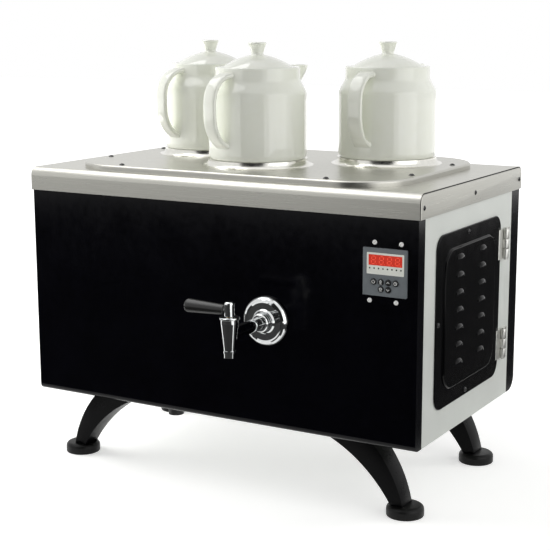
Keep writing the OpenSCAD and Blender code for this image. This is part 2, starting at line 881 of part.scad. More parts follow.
module contactor() {
    step = (contactor_size - contactor_top) / 2;
    color("whitesmoke") translate([bay_x, contactor_y, base_z + sheet]) {
        cube(contactor_size);
        translate([step[0], step[1], contactor_size[2]]) cube(contactor_top);
    }
}

module terminal_block() {
    color("ivory") translate([bay_x, block_y, base_z + sheet]) difference() {
        cube(block_size);
        for (i = [0:pole_count - 1])
            translate([block_size[0] / 2, block_size[1] / 2 + (i - (pole_count - 1) / 2) * pole_pitch, 0])
                translate([0, 0, block_size[2] - pole_depth]) cylinder(r = pole_r, h = pole_depth + cut);
    }
}

module cable_gland() {
    length = gland_neck + gland_flange + gland_dome;
    color("dimgray") translate([gland_x, half_d, gland_z]) difference() {
        union() {
            translate([0, -gland_neck, 0]) rod_y(gland_r, gland_neck);
            along_y(gland_flange) hexagon(gland_af);
            translate([0, gland_flange, 0]) rotate([-90, 0, 0])
                cylinder(r1 = gland_af / 2 - gland_shoulder, r2 = gland_r, h = gland_dome);
        }
        translate([0, -gland_neck - cut, 0]) rod_y(gland_bore, length + 2 * cut);
    }
}

module gland_nut() {
    color("dimgray") translate([gland_x, half_d - sheet - gland_nut_t, gland_z]) difference() {
        along_y(gland_nut_t) hexagon(gland_af);
        translate([0, -cut, 0]) rod_y(gland_r + running, gland_nut_t + 2 * cut);
    }
}

// Side of a leg in (x, z): the stretch between two bows, from the ankle up to the base plate
module leg_side() {
    outer = bow_centre([leg_root[1], under_z], [leg_ankle[1], foot_h], leg_outer_bend);
    inner = bow_centre([leg_root[0], under_z], [leg_ankle[0], foot_h], leg_inner_bend);
    intersection() {
        translate([leg_root[0] - leg_margin, foot_h])
            square([leg_ankle[1] - leg_root[0] + 2 * leg_margin, base_z - foot_h]);
        difference() {
            translate(outer) circle(r = leg_outer_bend, $fn = 180);
            translate(inner) circle(r = leg_inner_bend, $fn = 180);
        }
    }
}

// Bowed leg, tapering from its root to its ankle, with a spigot for the foot
module leg(sx, sy) {
    color("black") translate([0, sy * foot_y, 0]) mirror([sx < 0 ? 1 : 0, 0, 0]) difference() {
        union() {
            intersection() {
                translate([0, -leg_root_w / 2, 0]) along_y(leg_root_w) leg_side();
                along_x(body_w) polygon([
                    [-leg_ankle_w / 2, foot_h], [leg_ankle_w / 2, foot_h],
                    [leg_root_w / 2, base_z], [-leg_root_w / 2, base_z]
                ]);
            }
            translate([ankle_x, 0, foot_h - ankle_l]) cylinder(r = ankle_r, h = ankle_l + cut);
        }
        for (x = leg_screw_xs)
            translate([x, 0, base_z - leg_screw_l - cut])
                cylinder(r = leg_screw_r + fit, h = leg_screw_l + 2 * cut);
    }
}

module front_left_leg() {
    leg(-1, -1);
}

module front_right_leg() {
    leg(1, -1);
}

module rear_left_leg() {
    leg(-1, 1);
}

module rear_right_leg() {
    leg(1, 1);
}

module feet() {
    socket_z = foot_h - ankle_l - free;
    color("black") for (s = leg_signs) translate([s[0] * foot_x, s[1] * foot_y, 0]) difference() {
        rotate_extrude() polygon(concat(
            [[0, 0], [foot_r - foot_chamfer, 0], [foot_r, foot_chamfer]],
            arc([foot_r - foot_round, foot_h - foot_round], foot_round, 0, 90),
            [[0, foot_h]]
        ));
        translate([s[0] * (ankle_x - foot_x), 0, socket_z]) cylinder(r = ankle_r + fit, h = foot_h);
    }
}

module leg_screws() {
    color("silver") for (s = leg_signs, x = leg_screw_xs)
        translate([s[0] * x, s[1] * foot_y, base_z + sheet]) {
            translate([0, 0, -leg_screw_l - sheet]) cylinder(r = leg_screw_r, h = leg_screw_l + sheet);
            linear_extrude(height = leg_screw_head) hexagon(leg_screw_af);
        }
}

// Dished rosette: a wide sloping rim, a flat and a raised ring round the collar
module tap_rosette() {
    color("silver") translate([tap_x, -half_d, tap_z]) rotate([90, 0, 0]) rotate_extrude() polygon(concat(
        [[shank_r + fit, 0], [rosette_r, 0]],
        arc([rosette_r - rosette_rim, rosette_edge], rosette_rim, 0, 75, 6),
        [[rosette_r - rosette_rim, rosette_h - rosette_ring]],
        [[collar_r + 2 * rosette_ring, rosette_h - rosette_ring]],
        [[collar_r + rosette_ring, rosette_h], [shank_r + fit, rosette_h]]
    ));
}

module tap_collar() {
    color("silver") translate([tap_x, -half_d - rosette_h, tap_z]) rotate([90, 0, 0])
        rotate_extrude() polygon([
            [shank_r + fit, 0], [collar_r, 0], [collar_r, collar_t - collar_chamfer],
            [collar_r - collar_chamfer, collar_t], [shank_r + fit, collar_t]
        ]);
}

// One casting: the shank through the casing and the tank, the arm, the barrel and the nozzle
module tap_body() {
    shank_front = -half_d - rosette_h - collar_t;
    shank_back = -tank_d / 2 + tank_sheet + seal_t + locknut_t + cut;
    bore_r = plug_r + running;
    color("silver") difference() {
        union() {
            translate([tap_x, shank_front, tap_z]) rod_y(shank_r, shank_back - shank_front);
            translate([tap_x, barrel_y, tap_z]) rod_y(arm_r, shank_front - barrel_y + cut);
            translate([tap_x, barrel_y, bonnet_z - barrel_straight])
                cylinder(r = barrel_r, h = barrel_straight);
            translate([tap_x, barrel_y, tap_z - barrel_down])
                cylinder(r1 = nozzle_r, r2 = barrel_r, h = barrel_down + barrel_up - barrel_straight);
            translate([tap_x, barrel_y, nozzle_z]) cylinder(r = nozzle_r, h = nozzle_l);
            translate([tap_x, barrel_y, nozzle_z + nozzle_l - nozzle_bead])
                cylinder(r = nozzle_bead_r, h = nozzle_bead);
        }
        translate([tap_x, barrel_y, plug_z]) cylinder(r = bore_r, h = bonnet_z - plug_z + cut);
        translate([tap_x, barrel_y, nozzle_z - cut]) cylinder(r = water_r, h = plug_z - nozzle_z + 2 * cut);
        translate([tap_x, barrel_y, tap_z]) rod_y(water_r, shank_back - barrel_y + cut);
    }
}

module tap_seal() {
    color("dimgray") translate([tap_x, -tank_d / 2 + tank_sheet, tap_z]) difference() {
        rod_y(seal_r, seal_t);
        translate([0, -cut, 0]) rod_y(shank_r + fit, seal_t + 2 * cut);
    }
}

module tap_locknut() {
    color("goldenrod") translate([tap_x, -tank_d / 2 + tank_sheet + seal_t, tap_z]) difference() {
        along_y(locknut_t) hexagon(locknut_af);
        translate([0, -cut, 0]) rod_y(shank_r + fit, locknut_t + 2 * cut);
    }
}

module tap_bonnet() {
    hole_r = stem_r + running;
    color("silver") translate([tap_x, barrel_y, bonnet_z]) rotate_extrude() polygon([
        [hole_r, 0], [bonnet_r - bonnet_chamfer, 0], [bonnet_r, bonnet_chamfer],
        [bonnet_r, bonnet_h - bonnet_chamfer], [bonnet_r - bonnet_chamfer, bonnet_h], [hole_r, bonnet_h]
    ]);
}

// Plug with an angled water way, closed while the lever lies along the front
module valve_plug() {
    foot_z = plug_z + free;
    color("goldenrod") difference() {
        union() {
            translate([tap_x, barrel_y, foot_z]) cylinder(r = plug_r, h = bonnet_z - free - foot_z);
            translate([tap_x, barrel_y, foot_z]) cylinder(r = stem_r, h = hub_z + hub_h - hub_cap - foot_z);
        }
        translate([tap_x, barrel_y, foot_z - cut]) cylinder(r = water_r, h = tap_z - foot_z + cut);
        translate([tap_x, barrel_y, tap_z]) rod_x(water_r, plug_r + cut);
    }
}

module lever_hub() {
    color("silver") translate([tap_x, barrel_y, hub_z]) difference() {
        union() {
            rotate_extrude() polygon(concat(
                [[0, 0], [hub_r - hub_chamfer, 0], [hub_r, hub_chamfer]],
                arc([hub_r - hub_round, hub_h - hub_round], hub_round, 0, 90, 6),
                [[0, hub_h]]
            ));
            translate([-hub_r - spigot_l, 0, lever_z - hub_z]) rod_x(spigot_r, hub_r + spigot_l);
        }
        translate([0, 0, -cut]) cylinder(r = stem_r + running, h = hub_h - hub_cap + cut);
    }
}

module lever_grip() {
    color("black") translate([tap_x - hub_r - fit, barrel_y, lever_z]) rotate([0, -90, 0]) difference() {
        rotate_extrude() polygon(concat(
            [[0, 0], [grip_neck_r - grip_chamfer, 0], [grip_neck_r, grip_chamfer]],
            arc([grip_r - grip_round, grip_l - grip_round], grip_round, 0, 90, 6),
            [[0, grip_l]]
        ));
        translate([0, 0, -cut]) cylinder(r = spigot_r + running, h = spigot_l + free + cut);
    }
}

// Plate behind the front panel that holds the controller's housing
module controller_bracket() {
    w = housing_w + 2 * bracket_margin;
    h = 2 * (control_screw_z + bracket_margin);
    color("silver") translate([control_x, -half_d + sheet, control_mid_z]) difference() {
        along_y(sheet) square([w, h], center = true);
        translate([0, -cut, 0]) along_y(sheet + 2 * cut)
            square([housing_w + 2 * free, housing_h + 2 * free], center = true);
        for (p = control_screws) translate([p[0], -cut, p[1]]) rod_y(screw_r + fit, sheet + 2 * cut);
    }
}

module controller_housing() {
    color("black") translate([control_x, control_y, control_mid_z]) difference() {
        along_y(housing_d) square([housing_w, housing_h], center = true);
        translate([0, -cut, 0]) along_y(housing_d - housing_t + cut)
            square([housing_w - 2 * housing_t, housing_h - 2 * housing_t], center = true);
    }
}

module controller_board() {
    inset = 2 * (housing_t + free);
    color("green") translate([control_x, board_y, control_mid_z]) {
        along_y(board_t) square([housing_w - inset, housing_h - inset], center = true);
        for (p = button_places)
            translate([p[0] * button_pitch, -switch_h, buttons_z - control_mid_z + p[1] * button_row])
                rod_y(switch_r, switch_h + board_t);
        translate([window_shift, -display_h, window_z - control_mid_z])
            along_y(display_h + board_t) square([window_w, window_h], center = true);
    }
}

module controller_face() {
    color("dimgray") translate([control_x, control_y - face_t, control_mid_z]) difference() {
        along_y(face_t) rounded_rect(face_w, face_h, face_corner_r);
        translate([window_shift, -cut, window_z - control_mid_z]) along_y(face_t + 2 * cut)
            square([window_w + 2 * fit, window_h + 2 * fit], center = true);
        for (p = button_places)
            translate([p[0] * button_pitch, -cut, buttons_z - control_mid_z + p[1] * button_row])
                rod_y(button_r + free, face_t + 2 * cut);
    }
}

// Lens in the face, with a flange behind it
module display_window() {
    color("red") translate([control_x + window_shift, control_y - face_t, window_z]) {
        along_y(face_t + window_flange_t) square([window_w, window_h], center = true);
        translate([0, face_t, 0]) along_y(window_flange_t)
            square([window_w + 2 * window_flange, window_h + 2 * window_flange], center = true);
    }
}

module controller_screws() {
    color("white") for (p = control_screws)
        translate([control_x + p[0], -half_d - washer_t, control_mid_z + p[1]]) rotate([90, 0, 0]) {
            translate([0, 0, -washer_t]) cylinder(r = washer_r, h = washer_t);
            dome_screw(screw_r, washer_t + 2 * sheet + thread_end, control_head_r, head_h);
        }
}

// Button with a flange behind the face and a stem over its switch
module button(i) {
    p = button_places[i];
    back_y = control_y + free;
    stem_end = board_y - switch_h - button_travel - free;
    front_y = control_y - face_t - button_proud;
    color("black") translate([control_x + p[0] * button_pitch, 0, buttons_z + p[1] * button_row]) {
        translate([0, front_y, 0]) rod_y(button_r, back_y - front_y);
        translate([0, back_y, 0]) rod_y(button_flange_r, button_flange_t);
        translate([0, back_y, 0]) rod_y(button_stem_r, stem_end - back_y);
    }
}

module power_button() {
    button(0);
}

module heat_button() {
    button(1);
}

module up_button() {
    button(2);
}

module timer_button() {
    button(3);
}

module back_button() {
    button(4);
}

module down_button() {
    button(5);
}

// Slope that lifts the door's sheet into its raised field
module field_profile() {
    top_r = field_r - field_slope;
    polygon([
        [field_r, 0], [field_r, sheet], [top_r, field_rise + sheet], [0, field_rise + sheet],
        [0, field_rise], [top_r - sheet, field_rise], [field_r - sheet, 0]
    ]);
}

// Bowed hood in (z, x), open downwards
module hood(h, proud) {
    bow = bow_radius(h, proud);
    intersection() {
        translate([0, proud - bow]) circle(r = bow);
        square([h, proud]);
    }
}

// Places a louvre's hood or its cut, lower edge on the field's outer face
module at_louvres() {
    for (c = [-1, 1], i = [0:louvre_rows - 1])
        translate([louvre_y + c * louvre_columns / 2, louvre_z + (i - louvre_rows / 2) * louvre_pitch, 0])
            translate([0, (louvre_pitch - louvre_h) / 2, field_rise + sheet]) children();
}

module service_door() {
    color("black") translate([door_x, door_y, door_mid_z]) rotate([90, 0, 90]) difference() {
        union() {
            difference() {
                linear_extrude(height = sheet) rounded_rect(door_w, door_h, door_r);
                translate([0, 0, -cut]) linear_extrude(height = sheet + 2 * cut)
                    rounded_rect(field_w, field_h, field_r);
            }
            rounded_sweep(field_w, field_h, field_r) field_profile();
            translate([-field_w / 2 + field_r, -field_h / 2 + field_r, field_rise])
                cube([field_w - 2 * field_r, field_h - 2 * field_r, sheet]);
            at_louvres() translate([-louvre_l / 2, 0, 0]) along_x(louvre_l) hood(louvre_h, louvre_proud);
        }
        at_louvres() translate([-louvre_l / 2 + louvre_wall, 0, 0]) along_x(louvre_l - 2 * louvre_wall)
            union() {
                hood(louvre_h - louvre_wall, louvre_proud - louvre_wall);
                translate([0, -sheet - cut]) square([louvre_slot, sheet + 2 * cut]);
            }
        for (p = door_screws_at)
            translate([p[0], p[1], -cut]) cylinder(r = screw_r + fit, h = sheet + 2 * cut);
    }
}

module door_screws() {
    color("silver") for (p = door_screws_at)
        translate([door_x + sheet, door_y + p[0], door_mid_z + p[1]]) rotate([0, 90, 0])
            dome_screw(screw_r, 2 * sheet + seam + cut, small_head_r, head_h);
}

// Ring cut round the hinge axis, where the other leaf's knuckle turns
module knuckle_room(h) {
    cylinder(r = knuckle_r + free, h = h);
}

// Leaves on the door's face, each with the middle knuckle
module door_hinge_leaves() {
    mid_h = knuckle_h - 2 * free;
    face_x = door_x + sheet;
    color("silver") for (z = hinge_zs) translate([0, 0, z]) difference() {
        union() {
            difference() {
                translate([face_x, hinge_y - leaf_w, -hinge_h / 2]) cube([leaf_t, leaf_w, hinge_h]);
                for (s = [-1, 1])
                    translate([hinge_x, hinge_y, s * hinge_h / 3 - knuckle_h / 2 - (s > 0 ? free : cut)])
                        knuckle_room(knuckle_h + free + cut);
            }
            translate([hinge_x, hinge_y, -mid_h / 2]) cylinder(r = knuckle_r, h = mid_h);
        }
        translate([hinge_x, hinge_y, -hinge_h / 2 - cut])
            cylinder(r = pin_r + running, h = hinge_h + 2 * cut);
    }
}

// Leaves on the side panel, each with the upper and the lower knuckle
module body_hinge_leaves() {
    color("silver") for (z = hinge_zs) translate([0, 0, z]) difference() {
        union() {
            difference() {
                translate([half_w, hinge_y, -hinge_h / 2]) cube([leaf_t, leaf_w, hinge_h]);
                translate([hinge_x, hinge_y, -knuckle_h / 2]) knuckle_room(knuckle_h);
            }
            for (s = [-1, 1])
                translate([hinge_x, hinge_y, s * hinge_h / 3 - knuckle_h / 2])
                    cylinder(r = knuckle_r, h = knuckle_h);
        }
        translate([hinge_x, hinge_y, -hinge_h / 2 - cut])
            cylinder(r = pin_r + running, h = hinge_h + 2 * cut);
    }
}

module hinge_pins() {
    color("silver") for (z = hinge_zs) translate([hinge_x, hinge_y, z - hinge_h / 2]) {
        cylinder(r = pin_r, h = hinge_h);
        for (head_z = [-pin_head_t, hinge_h])
            translate([0, 0, head_z]) cylinder(r = pin_head_r, h = pin_head_t);
    }
}

// Half of a teapot's outer section: foot, wall, shoulder, neck and rolled rim
module pot_outline() {
    drop = neck_z - pot_shoulder;
    shrink = pot_r - neck_r;
    ring_in = foot_ring_r - foot_ring_w;
    polygon(concat(
        [[0, foot_ring_h], [ring_in, foot_ring_h], [ring_in, 0], [foot_ring_r, 0], [pot_r, 2 * foot_ring_h]],
        [for (i = [0:8]) let (a = 180 * i / 8) [
            pot_r - shrink * (1 - cos(a)) / 2, pot_shoulder + drop * i / 8
        ]],
        arc([neck_r - lid_edge, pot_h - lid_edge], lid_edge, 0, 90, 4),
        [[0, pot_h]]
    ));
}

// Half of a teapot's hollow, with the gallery that seats the lid
module pot_hollow() {
    in_r = pot_r - pot_wall;
    floor_in = foot_ring_h + pot_wall;
    seat = pot_h - gallery_h;
    polygon([
        [0, floor_in], [in_r - foot_ring_w, floor_in], [in_r, floor_in + foot_ring_w],
        [in_r, pot_shoulder], [ledge_r, min(neck_z, seat - ledge_t)], [ledge_r, seat],
        [gallery_r, seat], [gallery_r, pot_h + cut], [0, pot_h + cut]
    ]);
}

// Strap section of the handle, lying across the path
module strap() {
    square([handle_t, handle_w - handle_t], center = true);
    for (s = [-1, 1]) translate([0, s * (handle_w - handle_t) / 2]) circle(r = handle_t / 2);
}

// Handle on +X: an arc out of the neck, then down the side and back into the wall
module pot_handle() {
    mid = handle_t / 2;
    top_c = [handle_reach - handle_bend, pot_h - handle_drop - handle_bend];
    foot_c = [handle_reach - handle_foot_bend, handle_foot_z];
    translate([top_c[0], 0, top_c[1]]) rotate([90, 0, 0]) rotate_extrude(angle = 90)
        translate([handle_bend - mid, 0]) strap();
    translate([handle_reach - mid, 0, foot_c[1]])
        linear_extrude(height = top_c[1] - foot_c[1]) strap();
    translate([foot_c[0], 0, foot_c[1]]) rotate([-90, 0, 0]) rotate_extrude(angle = handle_foot_turn)
        translate([handle_foot_bend - mid, 0]) strap();
}

// Leaning cylinder of the spout on -X, whose tip reaches the given distance at the rim
module spout_rod(r) {
    run = spout_reach - spout_r / cos(spout_tilt);
    translate([-run, 0, pot_h]) rotate([0, -spout_tilt, 0]) translate([0, 0, -spout_root])
        cylinder(r = r, h = spout_l);
}

module teapot(i) {
    spout_foot = pot_shoulder - spout_drop;
    color("ivory") translate([pots[i][0], pots[i][1], seat_z]) rotate([0, 0, -90 - pot_yaw[i]]) difference() {
        union() {
            rotate_extrude() pot_outline();
            pot_handle();
            intersection() {
                spout_rod(spout_r);
                translate([-2 * pot_r, -pot_r, spout_foot]) cube([2 * pot_r, 2 * pot_r, pot_h - spout_foot]);
            }
        }
        rotate_extrude() pot_hollow();
        intersection() {
            spout_rod(spout_r - spout_wall);
            translate([-2 * pot_r, -pot_r, pot_shoulder]) cube([2 * pot_r, 2 * pot_r, pot_h]);
        }
    }
}

module front_teapot() {
    teapot(0);
}

module left_teapot() {
    teapot(1);
}

module right_teapot() {
    teapot(2);
}

// Domed lid seated in the gallery, with a skirt inside the ledge and a conical knob
module teapot_lid(i) {
    seat = pot_h - gallery_h + running;
    edge_r = gallery_r - lid_play;
    bow = bow_radius(edge_r, dome_h);
    under = pot_h + dome_h - bow;
    skirt_r = ledge_r - 2 * lid_play;
    knob_z = pot_h + dome_h + knob_h;
    color("ivory") translate([pots[i][0], pots[i][1], seat_z]) rotate_extrude() polygon(concat(
        arc([0, under], bow - pot_wall, 90, acos((skirt_r - lid_skirt_t) / (bow - pot_wall)), 6),
        [[skirt_r - lid_skirt_t, seat - lid_skirt], [skirt_r, seat - lid_skirt], [skirt_r, seat]],
        [[edge_r, seat]],
        arc([0, under], bow, acos(edge_r / bow), acos(knob_waist_r / bow), 8),
        arc([knob_r - knob_lip, knob_z - knob_lip], knob_lip, -20, 90, 5),
        [[knob_r - 2 * knob_lip, knob_z - knob_dish], [0, knob_z - knob_dish]]
    ));
}

module front_teapot_lid() {
    teapot_lid(0);
}

module left_teapot_lid() {
    teapot_lid(1);
}

module right_teapot_lid() {
    teapot_lid(2);
}

place() base_plate();
place() front_panel();
place() rear_panel();
place() left_side_panel();
place() right_side_panel();
place() top_cover();
place() top_cover_screws();
place() plate_gasket();
place() pot_plate();
place() pot_collars();
place() pot_plate_screws();
place() water_tank();
place() drain_cap();
place() insulation_jacket();
place() heating_elements();
place() element_nuts();
place() temperature_probe();
place() overheat_cutout();
place() contactor();
place() terminal_block();
place() cable_gland();
place() gland_nut();
place() front_left_leg();
place() front_right_leg();
place() rear_left_leg();
place() rear_right_leg();
place() feet();
place() leg_screws();
place() tap_rosette();
place() tap_collar();
place() tap_body();
place() tap_seal();
place() tap_locknut();
place() tap_bonnet();
place() valve_plug();
place() lever_hub();
place() lever_grip();
place() controller_bracket();
place() controller_housing();
place() controller_board();
place() controller_face();
place() display_window();
place() controller_screws();
place() power_button();
place() heat_button();
place() up_button();
place() timer_button();
place() back_button();
place() down_button();
place() service_door();
place() door_screws();
place() door_hinge_leaves();
place() body_hinge_leaves();
place() hinge_pins();
place() front_teapot();
place() left_teapot();
place() right_teapot();
place() front_teapot_lid();
place() left_teapot_lid();
place() right_teapot_lid();
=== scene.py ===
"""Looks of an electric tea maker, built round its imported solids, in metres and in their frame."""
import math

import bmesh
import bpy
from mathutils import Matrix, Vector


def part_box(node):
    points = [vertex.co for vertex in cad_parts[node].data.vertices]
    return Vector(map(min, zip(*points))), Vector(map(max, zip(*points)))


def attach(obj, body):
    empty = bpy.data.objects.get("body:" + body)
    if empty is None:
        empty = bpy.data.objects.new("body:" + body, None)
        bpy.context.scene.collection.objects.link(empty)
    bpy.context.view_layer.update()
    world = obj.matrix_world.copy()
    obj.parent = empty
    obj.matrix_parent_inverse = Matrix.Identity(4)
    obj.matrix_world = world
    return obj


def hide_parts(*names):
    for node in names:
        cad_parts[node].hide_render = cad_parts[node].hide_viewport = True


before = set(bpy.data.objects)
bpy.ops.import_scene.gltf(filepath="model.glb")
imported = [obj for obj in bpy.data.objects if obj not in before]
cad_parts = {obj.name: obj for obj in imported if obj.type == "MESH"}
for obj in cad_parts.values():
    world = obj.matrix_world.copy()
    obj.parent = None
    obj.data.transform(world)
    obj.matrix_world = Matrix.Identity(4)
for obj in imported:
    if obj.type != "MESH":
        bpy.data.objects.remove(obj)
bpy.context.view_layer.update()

MM = 0.001
# Points closer than this are one point.
WELD = 0.002 * MM
SEED = 7
# Corners of a square about its middle, anticlockwise.
SQUARE = ((-1, -1), (1, -1), (1, 1), (-1, 1))


# Helpers

def linear(colour):
    """Linear RGBA of an sRGB hex colour."""
    parts = [int(colour[i:i + 2], 16) / 255 for i in (1, 3, 5)]
    return [p / 12.92 if p <= 0.04045 else ((p + 0.055) / 1.055) ** 2.4 for p in parts] + [1.0]


def node(tree, kind, inputs=(), **settings):
    """Adds a node with its settings, and fills its sockets with values or links."""
    made = tree.nodes.new(kind)
    for name, value in settings.items():
        setattr(made, name, value)
    for key, value in dict(inputs).items():
        if isinstance(value, bpy.types.NodeSocket):
            tree.links.new(value, made.inputs[key])
        else:
            made.inputs[key].default_value = value
    return made


def new_object(name, mesh):
    """An object at the origin that holds a mesh."""
    obj = bpy.data.objects.new(name, mesh)
    bpy.context.scene.collection.objects.link(obj)
    return obj


def mesh_of(name, points, faces, edges=()):
    """A mesh from its points, faces and loose edges."""
    mesh = bpy.data.meshes.new(name)
    mesh.from_pydata([tuple(p) for p in points], list(edges), faces)
    mesh.validate()
    return mesh


def smooth(mesh, angle=32):
    """Shades a mesh smooth but for the edges that turn by more than the angle."""
    mesh.shade_smooth()
    mesh.set_sharp_from_angle(angle=math.radians(angle))


def outward(mesh):
    """Merges doubled points and turns the faces of a closed shell outwards."""
    bm = bmesh.new()
    bm.from_mesh(mesh)
    bmesh.ops.remove_doubles(bm, verts=bm.verts, dist=WELD)
    bmesh.ops.dissolve_degenerate(bm, edges=bm.edges, dist=WELD)
    bmesh.ops.recalc_face_normals(bm, faces=bm.faces)
    bm.to_mesh(mesh)
    bm.free()


def plain(obj):
    """Turns what an object's modifiers make into its plain mesh."""
    graph = bpy.context.evaluated_depsgraph_get()
    mesh = bpy.data.meshes.new_from_object(obj.evaluated_get(graph), depsgraph=graph)
    old = obj.data
    obj.modifiers.clear()
    obj.data = mesh
    bpy.data.meshes.remove(old)
    return obj


def cut(obj, tool, operation):
    """Joins a closed tool to an object, or takes it away, and removes the tool."""
    step = obj.modifiers.new(operation.lower(), "BOOLEAN")
    step.operation = operation
    step.solver = "EXACT"
    step.object = tool
    plain(obj)
    bpy.data.objects.remove(tool)


def loft(name, rings, hoop=False):
    """A closed skin through rings of equally many points, with a face at each end, or joined into a hoop."""
    count, total = len(rings[0]), len(rings)
    points = [p for ring in rings for p in ring]
    faces = []
    for r in range(total if hoop else total - 1):
        a, b = r * count, (r + 1) % total * count
        faces += [(a + i, a + (i + 1) % count, b + (i + 1) % count, b + i) for i in range(count)]
    if not hoop:
        faces += [tuple(range(count)), tuple((total - 1) * count + i for i in range(count))]
    mesh = mesh_of(name, points, faces)
    outward(mesh)
    return mesh


def ribbon(path, facing, width, depth, hoop=False):
    """A flat band along a path, lying on the surface that faces one way and standing out by its depth."""
    rings = []
    for i, point in enumerate(path):
        before = path[i - 1] if i or hoop else point
        after = path[(i + 1) % len(path)] if i + 1 < len(path) or hoop else point
        side = (after - before).normalized().cross(facing).normalized() * (width / 2)
        if 0 < i < len(path) - 1 or hoop:
            half_turn = (point - before).normalized().dot((after - before).normalized())
            side /= max(half_turn, 0.5)
        rings.append([point + side * a + facing * b for a, b in
                      ((-1, -depth / 2), (1, -depth / 2), (1, depth / 2), (-1, depth / 2))])
    return loft("ribbon", rings, hoop)


def joined(name, meshes):
    """One mesh from several."""
    bm = bmesh.new()
    for mesh in meshes:
        bm.from_mesh(mesh)
        bpy.data.meshes.remove(mesh)
    whole = bpy.data.meshes.new(name)
    bm.to_mesh(whole)
    bm.free()
    return whole


def arc(centre, radius, start, end, steps):
    """Points in a plane on an arc between two angles in degrees."""
    turns = [math.radians(start + (end - start) * i / steps) for i in range(steps + 1)]
    return [(centre[0] + radius * math.cos(t), centre[1] + radius * math.sin(t)) for t in turns]


def curve(points, steps):
    """Points on a smooth line in a plane through given points."""
    ends = [points[0]] + list(points) + [points[-1]]
    line = []
    for a, b, c, d in zip(ends, ends[1:], ends[2:], ends[3:]):
        for t in [i / steps for i in range(steps)]:
            line.append(tuple(0.5 * (2 * q + (r - p) * t + (2 * p - 5 * q + 4 * r - s) * t ** 2
                                     + (3 * q - p - 3 * r + s) * t ** 3) for p, q, r, s in zip(a, b, c, d)))
    return line + [tuple(points[-1])]


def rounded_rectangle(width, height, radius, steps=6):
    """Outline of a rectangle with round corners, anticlockwise about its middle."""
    x, y = width / 2 - radius, height / 2 - radius
    corners = ((x, y, 0), (-x, y, 90), (-x, -y, 180), (x, -y, 270))
    return [p for cx, cy, turn in corners for p in arc((cx, cy), radius, turn, turn + 90, steps)]


def settle(obj, body, slot, *nodes):
    """Puts a finished piece on its body and hides the nodes it stands for; the slot is not used."""
    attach(obj, body)
    if nodes:
        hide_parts(*nodes)
    return obj


def copy_of(name, source):
    """A merged copy of a node's solid, with its flat faces whole."""
    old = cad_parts[source].data
    mesh = mesh_of(name, [v.co for v in old.vertices], [tuple(p.vertices) for p in old.polygons])
    bm = bmesh.new()
    bm.from_mesh(mesh)
    bmesh.ops.remove_doubles(bm, verts=bm.verts, dist=WELD)
    bmesh.ops.dissolve_limit(bm, angle_limit=math.radians(0.6), verts=bm.verts, edges=bm.edges)
    bm.to_mesh(mesh)
    bm.free()
    return new_object(name, mesh)


def boxes_in(source):
    """Lowest and highest corners of each separate solid in a node."""
    bm = bmesh.new()
    bm.from_mesh(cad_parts[source].data)
    bmesh.ops.remove_doubles(bm, verts=bm.verts, dist=WELD)
    left = set(bm.verts)
    found = []
    while left:
        front = [left.pop()]
        group = list(front)
        while front:
            for edge in front.pop().link_edges:
                for vert in edge.verts:
                    if vert in left:
                        left.remove(vert)
                        front.append(vert)
                        group.append(vert)
        spans = [[v.co[axis] for v in group] for axis in range(3)]
        found.append((Vector([min(s) for s in spans]), Vector([max(s) for s in spans])))
    bm.free()
    return sorted(found, key=lambda b: tuple(round(c, 5) for c in b[0]))


# Finishes

def start(name, **sockets):
    """A material with its shader and the object's own coordinates; sockets hold its even values."""
    material = bpy.data.materials.new(name)
    material.use_nodes = True
    tree = material.node_tree
    shader = tree.nodes["Principled BSDF"]
    for label, value in sockets.items():
        shader.inputs[label.replace("_", " ")].default_value = value
    return material, tree, shader, node(tree, "ShaderNodeTexCoord").outputs["Object"]


# Ranges that one noise, and the sum of two, mostly stay in.
ONE_NOISE = (0.3, 0.7)
TWO_NOISES = (0.7, 1.3)
# Brush lines are about 80 times as long as they are wide.
BRUSH_STRETCH = 0.012


def dress(tree, shader, pattern, span, tones, rough, height, depth_mm):
    """Spreads a pattern over two close tones and a range of roughness, and dents the surface by a height."""
    share = {"Value": pattern, "From Min": span[0], "From Max": span[1]}
    mix = node(tree, "ShaderNodeMapRange", share).outputs["Result"]
    tone = node(tree, "ShaderNodeMixRGB",
                {"Fac": mix, "Color1": linear(tones[0]), "Color2": linear(tones[1])})
    gloss = node(tree, "ShaderNodeMapRange", {**share, "To Min": rough[0], "To Max": rough[1]})
    dents = node(tree, "ShaderNodeBump", {"Height": height, "Strength": 1.0, "Distance": depth_mm * MM})
    tree.links.new(tone.outputs["Color"], shader.inputs["Base Color"])
    tree.links.new(gloss.outputs["Result"], shader.inputs["Roughness"])
    tree.links.new(dents.outputs["Normal"], shader.inputs["Normal"])


def surface(name, tones, rough, cloud_mm, grain_mm, depth_mm, stretch=(1, 1, 1), **sockets):
    """Finish with two close tones in soft clouds, and a fine grain that roughens and dents it."""
    material, tree, shader, place = start(name, **sockets)
    cloud = node(tree, "ShaderNodeTexNoise",
                 {"Vector": place, "Scale": 1 / (cloud_mm * MM), "Detail": 3.0}).outputs["Fac"]
    spread = node(tree, "ShaderNodeMapping", {"Vector": place, "Scale": stretch}).outputs["Vector"]
    grain = node(tree, "ShaderNodeTexNoise",
                 {"Vector": spread, "Scale": 1 / (grain_mm * MM), "Detail": 4.0}).outputs["Fac"]
    both = node(tree, "ShaderNodeMath", {0: cloud, 1: grain}, operation="ADD").outputs["Value"]
    dress(tree, shader, both, TWO_NOISES, tones, rough, grain, depth_mm)
    return material


